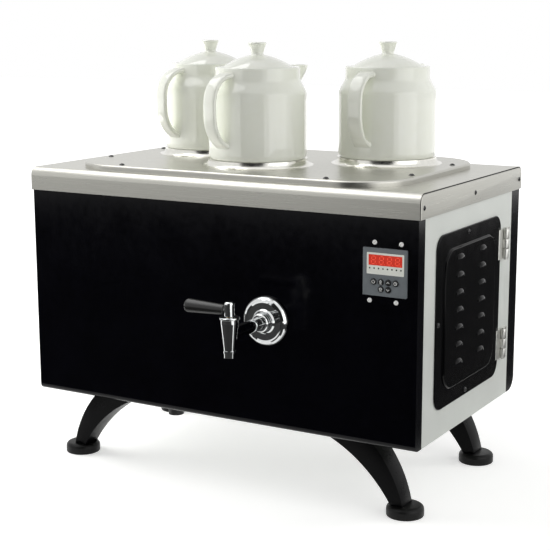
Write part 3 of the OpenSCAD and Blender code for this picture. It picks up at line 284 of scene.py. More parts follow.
def brushed(name, tones, rough, line_mm, depth_mm):
    """Sheet with brush lines that run along X, and along Y on the faces that look along X."""
    material, tree, shader, place = start(name, Metallic=1.0)
    normal = node(tree, "ShaderNodeNewGeometry").outputs["True Normal"]
    facing = node(tree, "ShaderNodeSeparateXYZ", {"Vector": normal}).outputs["X"]
    end = node(tree, "ShaderNodeMath", {0: facing}, operation="ABSOLUTE").outputs["Value"]
    lines = []
    for stretch in ((BRUSH_STRETCH, 1, 1), (1, BRUSH_STRETCH, 1)):
        spread = node(tree, "ShaderNodeMapping", {"Vector": place, "Scale": stretch}).outputs["Vector"]
        lines.append(node(tree, "ShaderNodeTexNoise",
                          {"Vector": spread, "Scale": 1 / (line_mm * MM), "Detail": 3.0}).outputs["Fac"])
    line = node(tree, "ShaderNodeMixRGB",
                {"Fac": end, "Color1": lines[0], "Color2": lines[1]}).outputs["Color"]
    dress(tree, shader, line, ONE_NOISE, tones, rough, line, depth_mm)
    return material


# Stainless sheet, brushed: fine straight lines that spread a highlight across them.
# The real lines are about 0.1 mm apart and are drawn at 0.9 mm so that they show.
STEEL = brushed("stainless_steel_brushed", ("#b3b2ab", "#c3c2bb"), (0.26, 0.40), 0.9, 0.006)
# Stainless sheet, spun and polished: soft, faintly wavy reflections.
POLISHED = surface("stainless_steel_polished", ("#d9d8d1", "#e2e1da"), (0.17, 0.25), 30, 6, 0.01,
                   Metallic=1.0)
# Brass, nickel and chromium plated: a hard mirror with a cool tint.
CHROME = surface("brass_chromium_plated", ("#d3d5d6", "#dfe1e1"), (0.03, 0.08), 25, 4, 0.002, Metallic=1.0)
# Steel sheet, black enamel fired on: deep and even, with a faint wave in its gloss.
ENAMEL = surface("steel_black_enamel", ("#020205", "#040409"), (0.10, 0.16), 60, 9, 0.004,
                 Specular_IOR_Level=0.16)
# Steel sheet, silver-grey paint sprayed on: satin, with a fine orange peel.
PAINT = surface("steel_grey_paint", ("#d3d6d1", "#dbded9"), (0.36, 0.48), 45, 1.6, 0.02, Metallic=0.2)
# Steel sheet, black stoving paint: a gloss skin with an orange peel of about 1.4 mm.
POWDER = surface("steel_black_stoving_paint", ("#030304", "#060607"), (0.10, 0.17), 18, 1.4, 0.006,
                 Specular_IOR_Level=0.14)
# Cast aluminium, black paint: a soft sheen over a slight casting grain.
LEG_PAINT = surface("cast_aluminium_black_paint", ("#040405", "#080809"), (0.26, 0.36), 22, 2.2, 0.03,
                    Specular_IOR_Level=0.07)
# Porcelain, ivory glaze: a clear coat of glass over a warm white body.
GLAZE = surface("porcelain_ivory_glaze", ("#f2f4e8", "#f4f6ec"), (0.025, 0.05), 40, 12, 0.006,
                IOR=1.52, Coat_Weight=0.35, Coat_Roughness=0.03)
# Phenolic resin, moulded black: a dull gloss with a fine mould grain.
PHENOLIC = surface("phenolic_resin_moulded", ("#131313", "#1d1d1c"), (0.30, 0.40), 14, 1.1, 0.02)
# ABS, moulded grey: a fine spark-eroded grain.
GREY_ABS = surface("abs_grey_moulded", ("#656b6f", "#70767a"), (0.42, 0.56), 15, 0.7, 0.015)
# ABS, moulded black: a dull skin with a fine grain.
BLACK_ABS = surface("abs_black_moulded", ("#0c0c0d", "#161617"), (0.36, 0.50), 12, 0.8, 0.012)
# Polycarbonate film, printed pale grey behind its clear face: an even sheen.
PALE_FILM = surface("polycarbonate_film_pale", ("#e4e6de", "#eceee6"), (0.28, 0.36), 10, 1.2, 0.004)
# Polyamide, moulded white: even and slightly waxy.
WHITE_NYLON = surface("polyamide_white_moulded", ("#f4f4f2", "#fafaf8"), (0.34, 0.44), 8, 0.9, 0.008)
# Nitrile rubber, moulded black: a soft sheen from a polished mould.
RUBBER = surface("nitrile_rubber_moulded", ("#060606", "#0b0b0b"), (0.34, 0.48), 9, 0.9, 0.01,
                 Specular_IOR_Level=0.2)
# Steel, nickel plated over a satin finish: soft, pale highlights.
SATIN = surface("steel_satin_nickel", ("#cfcfca", "#dbdbd6"), (0.34, 0.44), 8, 0.8, 0.006, Metallic=1.0)
# Steel screws, zinc plated: bright, with a fine haze.
SCREW = surface("steel_zinc_plated", ("#b9bab8", "#cccdca"), (0.18, 0.30), 3, 0.6, 0.006, Metallic=1.0)
# Steel screws, black oxide: an oily dark sheen.
DARK_SCREW = surface("steel_black_oxide", ("#101011", "#1d1d1e"), (0.20, 0.34), 3, 0.6, 0.006)
# Ink, white, printed on the keys: matt and even.
INK = surface("ink_white_printed", ("#e6e8e6", "#eef0ee"), (0.5, 0.6), 3, 0.5, 0.002)
# Polycarbonate light pipes, unlit: dark green, glossy.
UNLIT = surface("polycarbonate_green_unlit", ("#0f1f15", "#17301f"), (0.18, 0.28), 2, 0.5, 0.002)
# Brass, turned: bright, with fine tool marks.
BRASS = surface("brass_turned", ("#b48d3f", "#c8a350"), (0.24, 0.36), 6, 0.5, 0.006, Metallic=1.0)
# Nickel-iron alloy sheath of the heating elements, dark from heat.
ELEMENT = surface("alloy_sheath_heat_tinted", ("#565350", "#706a62"), (0.36, 0.52), 12, 0.8, 0.01,
                  Metallic=1.0)
# Glass-reinforced laminate with a green solder mask: a thin, wavy gloss.
BOARD = surface("glass_laminate_green_mask", ("#155a34", "#1c6b3f"), (0.30, 0.42), 7, 0.9, 0.01)
# Mineral wool slab, pressed: long pale fibres, matt.
WOOL = surface("mineral_wool_pressed", ("#b9a86a", "#d2c48c"), (0.85, 0.97), 14, 1.5, 0.25,
               stretch=(0.15, 1, 1))
# Painted shadow: a black line laid in the folded joint between two sheets, where no light comes back.
SEAM_SHADOW = surface("sheet_joint_shadow", ("#141414", "#242422"), (0.7, 0.9), 6, 0.6, 0.01)


def lamp_lens():
    """Red acrylic window over lit digits: it glows evenly, in faint cells of about 5 mm."""
    material, tree, shader, place = start("acrylic_red_lit", Roughness=0.16, Emission_Strength=0.3)
    cells = node(tree, "ShaderNodeTexNoise", {"Vector": place, "Scale": 1 / (5 * MM), "Detail": 2.0})
    glow = node(tree, "ShaderNodeMixRGB", {"Fac": cells.outputs["Fac"], "Color1": linear("#b82a1e"),
                                           "Color2": linear("#d83e2c")}).outputs["Color"]
    for label in ("Base Color", "Emission Color"):
        tree.links.new(glow, shader.inputs[label])
    return material


LENS = lamp_lens()
# Lit segments, as they show through the window: a lighter red than the window's own.
DIGIT = surface("diode_segments_lit", ("#de4a34", "#e65a42"), (0.3, 0.4), 4, 1.0, 0.002,
                Emission_Color=linear("#e8452e"), Emission_Strength=0.36)


def paint(material, *nodes):
    """Gives CAD nodes their finish."""
    for name in nodes:
        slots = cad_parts[name].data.materials
        slots.clear()
        slots.append(material)


paint(ENAMEL, "front_panel", "rear_panel")
paint(PAINT, "left_side_panel", "right_side_panel", "base_plate")
paint(STEEL, "top_cover", "pot_plate", "water_tank", "controller_bracket")
paint(POLISHED, "pot_collars", "temperature_probe")
paint(RUBBER, "plate_gasket", "tap_seal", "feet")
paint(WOOL, "insulation_jacket")
paint(ELEMENT, "heating_elements")
paint(BRASS, "element_nuts", "tap_locknut", "valve_plug")
paint(BLACK_ABS, "drain_cap", "overheat_cutout", "cable_gland", "gland_nut", "controller_housing",
      "power_button", "heat_button", "up_button", "timer_button", "back_button", "down_button")
paint(GREY_ABS, "contactor", "controller_face")
paint(WHITE_NYLON, "terminal_block", "controller_screws")
paint(BOARD, "controller_board")
paint(LEG_PAINT, "front_left_leg", "front_right_leg", "rear_left_leg", "rear_right_leg")
paint(CHROME, "tap_rosette", "tap_collar", "tap_body", "tap_bonnet", "lever_hub")
paint(SATIN, "door_hinge_leaves", "body_hinge_leaves", "hinge_pins")
paint(PHENOLIC, "lever_grip")
paint(POWDER, "service_door")
paint(LENS, "display_window")
paint(SCREW, "leg_screws")
paint(DARK_SCREW, "top_cover_screws", "pot_plate_screws", "door_screws")
paint(GLAZE, "front_teapot", "left_teapot", "right_teapot",
      "front_teapot_lid", "left_teapot_lid", "right_teapot_lid")


# Geometry Nodes

def tree_with(name, inputs):
    """An empty geometry tree with named inputs: the tree, its inputs and each input's identifier."""
    tree = bpy.data.node_groups.new(name, "GeometryNodeTree")
    made = {label: tree.interface.new_socket(label, in_out="INPUT", socket_type="NodeSocket" + kind)
            for label, kind in inputs}
    tree.interface.new_socket("Piece", in_out="OUTPUT", socket_type="NodeSocketGeometry")
    given = node(tree, "NodeGroupInput").outputs
    return tree, given, {label: socket.identifier for label, socket in made.items()}


def run_tree(name, mesh, made, **values):
    """Runs a tree on a mesh and keeps the result as an object with a plain mesh."""
    tree, _, names = made
    obj = new_object(name, mesh)
    step = obj.modifiers.new(name, "NODES")
    step.node_group = tree
    for label, value in values.items():
        step[names[label]] = value
    return plain(obj)


def turning():
    """Turns a profile, a line of points (radius, 0, height), round Z into a closed skin."""
    made = tree_with("turned_skin", [("Profile", "Geometry"), ("Points", "Int"), ("Segments", "Int"),
                                     ("Finish", "Material")])
    tree, given, _ = made
    around = node(tree, "ShaderNodeMath", {0: given["Segments"], 1: 1.0}, operation="ADD").outputs["Value"]
    grid = node(tree, "GeometryNodeMeshGrid",
                {"Vertices X": around, "Vertices Y": given["Points"]}).outputs["Mesh"]
    index = node(tree, "GeometryNodeInputIndex").outputs["Index"]
    share = node(tree, "ShaderNodeMath", {0: index, 1: given["Points"]}, operation="DIVIDE").outputs["Value"]
    ring = node(tree, "ShaderNodeMath", {0: share}, operation="FLOOR").outputs["Value"]
    step = node(tree, "ShaderNodeMath", {0: index, 1: given["Points"]}, operation="MODULO").outputs["Value"]
    turn = node(tree, "ShaderNodeMath", {0: ring, 1: given["Segments"]}, operation="DIVIDE").outputs["Value"]
    angle = node(tree, "ShaderNodeMath", {0: turn, 1: 2 * math.pi}, operation="MULTIPLY").outputs["Value"]
    position = node(tree, "GeometryNodeInputPosition").outputs["Position"]
    point = node(tree, "GeometryNodeSampleIndex",
                 {"Geometry": given["Profile"], "Value": position, "Index": step},
                 data_type="FLOAT_VECTOR", domain="POINT").outputs["Value"]
    placed = node(tree, "ShaderNodeVectorRotate", {"Vector": point, "Angle": angle},
                  rotation_type="Z_AXIS").outputs["Vector"]
    skin = node(tree, "GeometryNodeSetPosition", {"Geometry": grid, "Position": placed}).outputs["Geometry"]
    whole = node(tree, "GeometryNodeMergeByDistance",
                 {"Geometry": skin, "Distance": WELD}).outputs["Geometry"]
    real = node(tree, "GeometryNodeRealizeInstances", {"Geometry": whole}).outputs["Geometry"]
    done = node(tree, "GeometryNodeSetMaterial",
                {"Geometry": real, "Material": given["Finish"]}).outputs["Geometry"]
    node(tree, "NodeGroupOutput", {"Piece": done})
    return made


def copying():
    """Sets out copies of a small piece on points, facing one way and spun at random about it."""
    made = tree_with("set_out_copies", [("Places", "Geometry"), ("Piece", "Object"), ("Facing", "Vector"),
                                        ("Spin", "Float"), ("Seed", "Int"), ("Finish", "Material")])
    tree, given, _ = made
    shape = node(tree, "GeometryNodeObjectInfo", {"Object": given["Piece"]}).outputs["Geometry"]
    facing = node(tree, "FunctionNodeAlignRotationToVector",
                  {"Vector": given["Facing"]}, axis="Z").outputs["Rotation"]
    chance = node(tree, "FunctionNodeRandomValue", {"Max": given["Spin"], "Seed": given["Seed"]},
                  data_type="FLOAT")
    amount = [s for s in chance.outputs if s.enabled][0]
    spin = node(tree, "FunctionNodeAxisAngleToRotation",
                {"Axis": (0, 0, 1), "Angle": amount}).outputs["Rotation"]
    turned = node(tree, "FunctionNodeRotateRotation", {"Rotation": facing, "Rotate By": spin},
                  rotation_space="LOCAL").outputs["Rotation"]
    copies = node(tree, "GeometryNodeInstanceOnPoints",
                  {"Points": given["Places"], "Instance": shape, "Rotation": turned}).outputs["Instances"]
    real = node(tree, "GeometryNodeRealizeInstances", {"Geometry": copies}).outputs["Geometry"]
    done = node(tree, "GeometryNodeSetMaterial",
                {"Geometry": real, "Material": given["Finish"]}).outputs["Geometry"]
    node(tree, "NodeGroupOutput", {"Piece": done})
    return made


TURNING = turning()
COPYING = copying()


def turned(name, profile, segments, material):
    """A turned piece from its profile in millimetres, on the Z axis."""
    points = [(r * MM, 0, z * MM) for r, z in profile]
    line = mesh_of(name + "_line", points, [], [(i, i + 1) for i in range(len(points) - 1)])
    obj = run_tree(name, line, TURNING, Points=len(points), Segments=segments, Finish=material)
    outward(obj.data)
    return obj


def copies(name, places, piece, facing, material, spin=0.0):
    """One mesh of copies of a small piece at places in metres; the piece itself is removed."""
    obj = run_tree(name, mesh_of(name + "_places", places, []), COPYING, Piece=piece, Facing=facing,
                   Spin=spin, Seed=SEED, Finish=material)
    bpy.data.objects.remove(piece)
    return obj


# Teapots

CASING = sum(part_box("top_cover"), Vector()) / 2
# A teapot in millimetres: its radius, height, wall and neck, and where its shoulder starts and ends.
POT_R = 68
POT_H = 125
POT_WALL = 4
NECK_R = 58.5
SHOULDER = 87
NECK_Z = 111
# Half the handle's width and thickness, and the lengths over which its ends widen and its foot levels out.
STRAP_W = 11
STRAP_T = 3.5
STRAP_FLARE = 15
STRAP_LEVEL = 14
# The spout: its radius, its channel's radius, its lean, how far its lip reaches and how soon it stands up.
SPOUT_R = 14
CHANNEL_R = 11.2
SPOUT_LEAN = math.radians(40)
SPOUT_REACH = 76.7
SPOUT_UPRIGHT = 9.0
SPOUT_LOW = 84
CHANNEL_LOW = 96
# Each teapot's place in millimetres from the casing's middle, and its handle's turn in degrees.
POTS = {"front": ((0, -50), 15), "left": ((-146, 57), 21), "right": ((146, 57), 4)}


def pot_profile():
    """Foot ring, wall, shoulder, neck and rolled rim, then the gallery and the hollow."""
    bend = [(POT_R - (POT_R - NECK_R) * (1 - math.cos(math.pi * t)) / 2,
             SHOULDER + (NECK_Z - SHOULDER) * t) for t in [i / 14 for i in range(15)]]
    inner = POT_R - POT_WALL
    return ([(0, 2.5), (57, 2.5)] + arc((61, 1.2), 1.2, 200, 270, 3) + arc((64.5, 1.2), 1.2, 270, 320, 3)
            + [(67.0, 2.6), (67.8, 4.6), (POT_R, 8), (POT_R, 40), (POT_R, 70), (POT_R, 80)] + bend
            + [(NECK_R, 116), (NECK_R, 121)] + arc((NECK_R - 2.2, POT_H - 2.2), 2.2, 0, 90, 5)
            + arc((51.7, POT_H - 1.2), 1.2, 90, 180, 3) + [(50.5, 120), (45.5, 120), (45.5, 116)]
            + [(52, 108), (57.5, 100), (61.5, 92), (inner - 0.6, 86), (inner, 80), (inner, 40), (inner, 12)]
            + arc((inner - 6, 12), 6, 0, -90, 5) + [(40, 6), (0, 6)])


def handle_rings():
    """Strap that bows out of the neck, runs down and comes back into the wall, wider where it joins."""
    path = curve([(54.5, 115.2), (60, 114.6), (67, 112.6), (74.5, 108.4), (80.8, 102.4), (85.6, 94),
                  (88.2, 83), (88.5, 70), (88.2, 57), (85.8, 45), (80.6, 34), (73.6, 26), (65.4, 20.2)], 4)
    lengths = [0.0]
    for a, b in zip(path, path[1:]):
        lengths.append(lengths[-1] + math.dist(a, b))
    rings = []
    for i, (x, z) in enumerate(path):
        a, b = path[max(i - 1, 0)], path[min(i + 1, len(path) - 1)]
        along = Vector((b[0] - a[0], b[1] - a[1])).normalized()
        blend = max(0.0, 1 - (lengths[-1] - lengths[i]) / STRAP_LEVEL)
        along = (along * (1 - blend) + Vector((-1, 0)) * blend).normalized()
        ends = min(lengths[i], lengths[-1] - lengths[i])
        flare = max(0.0, 1 - ends / STRAP_FLARE) ** 2
        half_w, half_t = STRAP_W * (1 + 0.3 * flare), STRAP_T * (1 + 0.4 * flare)
        normal = Vector((-along[1], along[0]))
        ring = []
        for t in [2 * math.pi * k / 24 for k in range(24)]:
            c, s = math.cos(t), math.sin(t)
            across = half_w * math.copysign(abs(c) ** 0.5, c)
            deep = half_t * math.copysign(abs(s) ** 0.6, s)
            ring.append(Vector((x + normal[0] * deep, across, z + normal[1] * deep)) * MM)
        rings.append(ring)
    return rings


def spout_rings(radius, low, high, steps=10):
    """Level slices of a spout that leans out of the shoulder and stands up at its lip, level with the rim."""
    turns = [2 * math.pi * k / 40 for k in range(40)]
    long = radius / math.cos(SPOUT_LEAN)
    rings = []
    for t in [i / steps for i in range(steps + 1)]:
        z = low + (high - low) * t
        under = max(POT_H - z, 0.0)
        middle = math.tan(SPOUT_LEAN) * under ** 2 / (under + SPOUT_UPRIGHT) - SPOUT_REACH
        wide = radius * (0.86 + 0.14 * t)
        rings.append([Vector((middle + long * math.cos(a), wide * math.sin(a), z)) * MM for a in turns])
    return rings


def lid_profile():
    """Skirt, seat, a low cone that bows a little, and a knob that widens to a soft rim."""
    bow, low = 82.1, 54.9
    cone = [(49.4 - 39.9 * t, 124.4 + 16.6 * t + 8.8 * t * (1 - t)) for t in [i / 16 for i in range(17)]]
    inside = arc((0, low), bow, 90, math.degrees(math.acos(41 / bow)), 8)
    return (inside + [(41, 112)] + arc((42.5, 112), 1.0, 200, 340, 3) + [(44.5, 113), (44.5, 120.1)]
            + [(49.2, 120.1), (49.9, 120.8), (50, 123.2), (49.8, 124)] + cone
            + [(8.9, 141.5), (8.5, 142.2), (8.4, 143.2), (9.2, 146.2), (10.6, 150.6), (12.2, 155.2)]
            + arc((10.8, 156.1), 1.9, -16, 90, 6) + [(8.6, 157.7), (5, 157.3), (0, 157.2)])


def make_teapots():
    """A glazed pot with its handle, spout and channel, and its lid, at each seat."""
    pot = turned("teapot", pot_profile(), 128, GLAZE)
    cut(pot, new_object("handle", loft("handle", handle_rings())), "UNION")
    cut(pot, new_object("spout", loft("spout", spout_rings(SPOUT_R, SPOUT_LOW, POT_H))), "UNION")
    channel = loft("channel", spout_rings(CHANNEL_R, CHANNEL_LOW, POT_H + 6))
    cut(pot, new_object("channel", channel), "DIFFERENCE")
    lid = turned("teapot_lid", lid_profile(), 96, GLAZE)
    for obj in (pot, lid):
        obj.data.materials.clear()
        obj.data.materials.append(GLAZE)
    for side, ((x, y), yaw) in POTS.items():
        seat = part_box(side + "_teapot")[0].z
        place = Matrix.Translation(Vector((CASING.x + x * MM, CASING.y + y * MM, seat)))
        turn = place @ Matrix.Rotation(math.radians(-90 - yaw), 4, "Z")
        for form, kind, angle in ((pot, "teapot", 34), (lid, "teapot_lid", 50)):
            mesh = form.data.copy()
            mesh.transform(turn)
            smooth(mesh, angle)
            body = side + ("_pot" if kind == "teapot" else "_lid")
            settle(new_object(f"{side}_{kind}_glazed", mesh), body, "porcelain", f"{side}_{kind}")
    for obj in (pot, lid):
        bpy.data.objects.remove(obj)


make_teapots()


# Screws

# Screws in millimetres: the head's radius, its height and the shank's radius.
PAN_SCREW = (4.0, 2.4, 2.0)
DOOR_SCREW = (3.4, 2.4, 2.0)
CAP_SCREW = (2.4, 3.2, 2.0)


def screw_form(head_r, head_h, shank_r, shank_l):
    """Domed screw on Z with a cross recess, its head above the plane it seats on."""
    bow = (head_r ** 2 + head_h ** 2) / (2 * head_h)
    dome = arc((0, head_h - bow), bow, math.degrees(math.asin((bow - head_h) / bow)), 90, 7)
    shank = [(0, -shank_l), (shank_r, -shank_l), (shank_r, 0), (head_r, 0)]
    form = turned("screw", shank + dome, 28, SCREW)
    slot_w, slot_l, slot_depth, clear = 0.9, 4.2, 1.3, 0.5
    for x, y in ((slot_w / 2, slot_l / 2), (slot_l / 2, slot_w / 2)):
        rings = [[Vector((a * x * grow, b * y * grow, z)) * MM for a, b in SQUARE]
                 for z, grow in ((head_h - slot_depth, 0.7), (head_h + clear, 1.0))]
        cut(form, new_object("recess", loft("recess", rings)), "DIFFERENCE")
    return form


def capped_form(head_r, head_h, shank_r, shank_l):
    """White cap screw on Z: a washer, a low round head and a blind hole down its middle."""
    washer_r, washer_t, hole_r, hole_depth = head_r + 0.6, 0.8, 0.95, 1.8
    shank = [(0, -shank_l), (shank_r, -shank_l), (shank_r, 0)]
    washer = [(washer_r - 0.2, 0), (washer_r, 0.2)] + arc((washer_r - 0.3, washer_t - 0.3), 0.3, 0, 90, 3)
    head = [(head_r, washer_t)] + arc((head_r - 1.2, head_h - 1.2), 1.2, 0, 90, 5)
    floor = head_h - hole_depth
    hole = [(hole_r + 0.3, head_h), (hole_r, head_h - 0.3), (hole_r, floor), (0, floor)]
    return turned("screw", shank + washer + head + hole, 28, WHITE_NYLON)


def fit_screws(source, form_of, size, axis, sign, body, slot, material):
    """Finished screws in place of a node's plain ones; a sign of 0 turns each head away from the middle."""
    head_r, head_h, shank_r = size
    groups = {}
    for low, high in boxes_in(source):
        towards = sign if sign else (1 if (low[axis] + high[axis]) / 2 > CASING[axis] else -1)
        place = (low + high) / 2
        place[axis] = (high[axis] if towards > 0 else low[axis]) - towards * head_h * MM
        groups.setdefault(towards, []).append((place, high[axis] - low[axis]))
    meshes = []
    for towards, members in groups.items():
        facing = [0.0, 0.0, 0.0]
        facing[axis] = float(towards)
        form = form_of(head_r, head_h, shank_r, members[0][1] / MM - head_h)
        made = copies(source + "_set", [m[0] for m in members], form, facing, material, math.pi / 2)
        meshes.append(made.data)
        bpy.data.objects.remove(made)
    mesh = joined(source + "_finished", meshes)
    mesh.materials.append(material)
    smooth(mesh, 35)
    return settle(new_object(source + "_finished", mesh), body, slot, source)


fit_screws("pot_plate_screws", screw_form, PAN_SCREW, 2, 1, "casing", "screw_steel", DARK_SCREW)
fit_screws("top_cover_screws", screw_form, PAN_SCREW, 0, 0, "casing", "screw_steel", DARK_SCREW)
fit_screws("door_screws", screw_form, DOOR_SCREW, 0, 1, "door", "screw_steel", DARK_SCREW)
fit_screws("controller_screws", capped_form, CAP_SCREW, 1, -1, "casing", "white_plastic", WHITE_NYLON)


# Softened edges

def soften(source, body, slot, material, width_mm, steps=3, turn=40):
    """A node's own shape with its sharp edges rounded."""
    obj = copy_of(source + "_softened", source)
    edge = obj.modifiers.new("round", "BEVEL")
    edge.width = width_mm * MM
    edge.segments = steps
    edge.limit_method = "ANGLE"
    edge.angle_limit = math.radians(turn)
    plain(obj)
    obj.data.materials.append(material)
    smooth(obj.data, 40)
    return settle(obj, body, slot, source)


for leg in ("front_left_leg", "front_right_leg", "rear_left_leg", "rear_right_leg"):
    soften(leg, "casing", "leg_black", LEG_PAINT, 1.5)
for key in ("power", "heat", "up", "timer", "back", "down"):
    soften(key + "_button", key + "_key", "black_plastic", BLACK_ABS, 0.45)
soften("controller_face", "casing", "grey_plastic", GREY_ABS, 0.4)
soften("tap_bonnet", "casing", "chrome", CHROME, 0.7)
soften("tap_collar", "casing", "chrome", CHROME, 0.5)
soften("feet", "casing", "rubber", RUBBER, 1.2)


# Controller

FACE_LOW, FACE_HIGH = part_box("controller_face")
FACE = (FACE_LOW + FACE_HIGH) / 2
FRONT = Vector((0, -1, 0))
# The pale film in millimetres: its thickness, size and corner, and its middle above the face's.
FILM = 0.35
FILM_SIZE = (50.6, 27)
FILM_CORNER = 0.9
FILM_RISE = 10.7
# Indicator lights on the film, in millimetres: how many, the first one's place, their pitch and height.
LIGHTS = 8
LIGHT_START = -21.2
LIGHT_PITCH = 6.06
LIGHT_RISE = 4.7


def on_face(u, v, proud=0.0):
    """A point on the controller's face, in millimetres right of and above its middle."""
    return Vector((FACE.x + u * MM, FACE_LOW.y - proud * MM, FACE.z + v * MM))


def make_bezel():
    """Makes the pale film round the display, and gives its window's size and middle on the face."""
    low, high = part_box("display_window")
    flange = 1.0
    window = ((high.x - low.x) / MM - 2 * flange, (high.z - low.z) / MM - 2 * flange)
    rise = ((low.z + high.z) / 2 - FACE.z) / MM
    shift = ((low.x + high.x) / 2 - FACE.x) / MM
    outer = [(u + shift, v + FILM_RISE) for u, v in rounded_rectangle(*FILM_SIZE, FILM_CORNER)]
    eased = [(u * 0.995, FILM_RISE + (v - FILM_RISE) * 0.995) for u, v in outer]
    inner = [(u + shift, v + rise) for u, v in rounded_rectangle(*window, 0.6)]
    under = -0.05
    rings = [[on_face(u, v, depth) for u, v in outline] for outline, depth in
             ((outer, under), (outer, FILM - 0.1), (eased, FILM), (inner, FILM), (inner, under))]
    mesh = loft("display_bezel", rings, True)
    mesh.materials.append(PALE_FILM)
    settle(new_object("display_bezel", mesh), "casing", "white_plastic")
    return window, shift, rise


def digit_form():
    """A seven-bar figure with all its bars, and its point, as a thin shape that faces Z."""
    wide, tall, lean, bar, deep = 2.6, 4.7, 0.1, 1.05, 0.08
    dot_r, dot_gap = 0.55, 1.35
    ends = [(-wide, tall), (wide, tall), (wide, 0), (wide, -tall), (-wide, -tall), (-wide, 0)]
    bars = [(0, 1), (1, 2), (2, 3), (3, 4), (4, 5), (5, 0), (5, 2)]
    meshes = []
    up = Vector((0, 0, 1))
    for a, b in bars:
        (ax, ay), (bx, by) = ends[a], ends[b]
        run = math.dist(ends[a], ends[b])
        shape = []
        for t, off in ((0.5 / run, 0), (1.0 / run, bar / 2), (1 - 1.0 / run, bar / 2), (1 - 0.5 / run, 0),
                       (1 - 1.0 / run, -bar / 2), (1.0 / run, -bar / 2)):
            x = ax + (bx - ax) * t - (by - ay) / run * off
            y = ay + (by - ay) * t + (bx - ax) / run * off
            shape.append(Vector((x + lean * y, y, 0)) * MM)
        meshes.append(loft("bar", [[p + up * d * MM for p in shape] for d in (0, deep)]))
    dot = [Vector((wide + dot_gap + dot_r * math.cos(t), -tall + dot_r * math.sin(t), 0)) * MM
           for t in [2 * math.pi * k / 10 for k in range(10)]]
    meshes.append(loft("dot", [[p + up * d * MM for p in dot] for d in (0, deep)]))
    return new_object("figure", joined("figure", meshes))


def make_display():
    """The film, the four lit figures in its window and the row of unlit lights below it."""
    window, shift, rise = make_bezel()
    pitch = window[0] / 4.25
    places = [on_face(shift + (i - 1.5) * pitch, rise, 0.02) for i in range(4)]
    settle(copies("display_figures", places, digit_form(), FRONT, DIGIT), "casing", "red_lens")
    light = turned("light", [(0, 0), (1.05, 0), (1.0, 0.12), (0.7, 0.24), (0, 0.3)], 14, UNLIT)
    places = [on_face(shift + LIGHT_START + LIGHT_PITCH * i, LIGHT_RISE, FILM) for i in range(LIGHTS)]
    made = copies("indicator_lights", places, light, FRONT, UNLIT)
    smooth(made.data, 50)
    settle(made, "casing", "black_plastic")


def ring_path(across, high, start=0, end=360, steps=24, up=0.0):
    """Points on an oval, or on a stretch of it between two angles in degrees."""
    turns = [math.radians(start + (end - start) * i / steps) for i in range(steps + (end - start < 360))]
    return [(across * math.cos(t), up + high * math.sin(t)) for t in turns]


# Width and depth of a printed stroke, in millimetres.
STROKE = 0.62
INK_DEPTH = 0.12
# Strokes of each key's mark in millimetres about the key's middle, and whether the stroke closes.
MARKS = {
    "power": [(ring_path(1.9, 1.9, 130, 410, 20), False), ([(0, 0.7), (0, 2.5)], False)],
    "heat": [([(0, 2.5), (1.35, 0.6), (0, -0.9), (-1.35, 0.6)], True),
             ([(-1.7, -2.0), (1.7, -2.0)], False)],
    "up": [([(-1.9, -0.9), (0, 1.1), (1.9, -0.9)], False)],
    "timer": [(ring_path(2.0, 2.0), True), ([(0, 1.1), (0, 0), (0.9, -0.3)], False)],
    "back": [(ring_path(1.8, 1.15, up=0.7), True), ([(-1.8, -1.8), (1.8, -1.8)], False)],
    "down": [([(-1.9, 0.9), (0, -1.1), (1.9, 0.9)], False)],
}


def make_marks():
    """The printed mark on each key, which moves with its key."""
    for key, strokes in MARKS.items():
        low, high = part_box(key + "_button")
        middle = Vector(((low.x + high.x) / 2, low.y, (low.z + high.z) / 2))
        meshes = []
        for path, closed in strokes:
            line = [middle + Vector((u, 0, v)) * MM for u, v in path]
            meshes.append(ribbon(line, FRONT, STROKE * MM, INK_DEPTH * MM, closed))
        mesh = joined(key + "_mark", meshes)
        mesh.materials.append(INK)
        settle(new_object(key + "_mark", mesh), key + "_key", "white_plastic")


make_display()
make_marks()


# Service door and hinges

# The door's sheet, its raised field and its corners, in millimetres.
SHEET = 1.5
FIELD_RISE = 2.5
FIELD_INSET_Y = 24
FIELD_INSET_Z = 22
FIELD_R = 26
DOOR_R = 20
# Louvres: a hood's length, height, stand-out and wall, and the slot that it covers.
HOOD = (22, 6.5, 3.5, 0.9)
SLOT_L = 19
SLOT_LOW = 0.4
SLOT_HIGH = 2.4
# Two columns of louvres: half the distance between them, their middle on the door, pitch and count.
COLUMN = 38
LOUVRE_Y = -1.5
LOUVRE_Z = 6.75
LOUVRE_PITCH = 23.3
LOUVRES = 7


def louvre_form(length, height, proud, wall):
    """A pressed eyebrow hood, open along its lower edge, that faces Z with its length along X."""
    rings = []
    count, root, bow_steps = 28, 0.3, 10
    turns = [math.radians(90 * k / bow_steps) for k in range(bow_steps + 1)]
    bow = [(math.sin(t), math.cos(t)) for t in turns]
    for i in range(count + 1):
        u = -math.cos(math.pi * i / count)
        swell = max(1 - abs(u) ** 2.4, 0.0004) ** 0.45
        tall, deep = height * swell, proud * swell
        outer = [(tall * a, deep * b) for a, b in bow]
        inner = [(max(tall - wall, 0.02) * a, max(deep - wall, 0.02) * b) for a, b in bow]
        rings.append([Vector((length / 2 * u, y, z - root)) * MM for y, z in outer + inner[::-1]])
    return new_object("hood", loft("hood", rings))


def slot_form():
    """A cutter for the slot under a hood."""
    corners = [(a * SLOT_L / 2, SLOT_LOW if b < 0 else SLOT_HIGH) for a, b in SQUARE]
    rings = [[Vector((x, y, z)) * MM for x, y in corners] for z in (-2.0, 0.2)]
    return new_object("slot", loft("slot", rings))


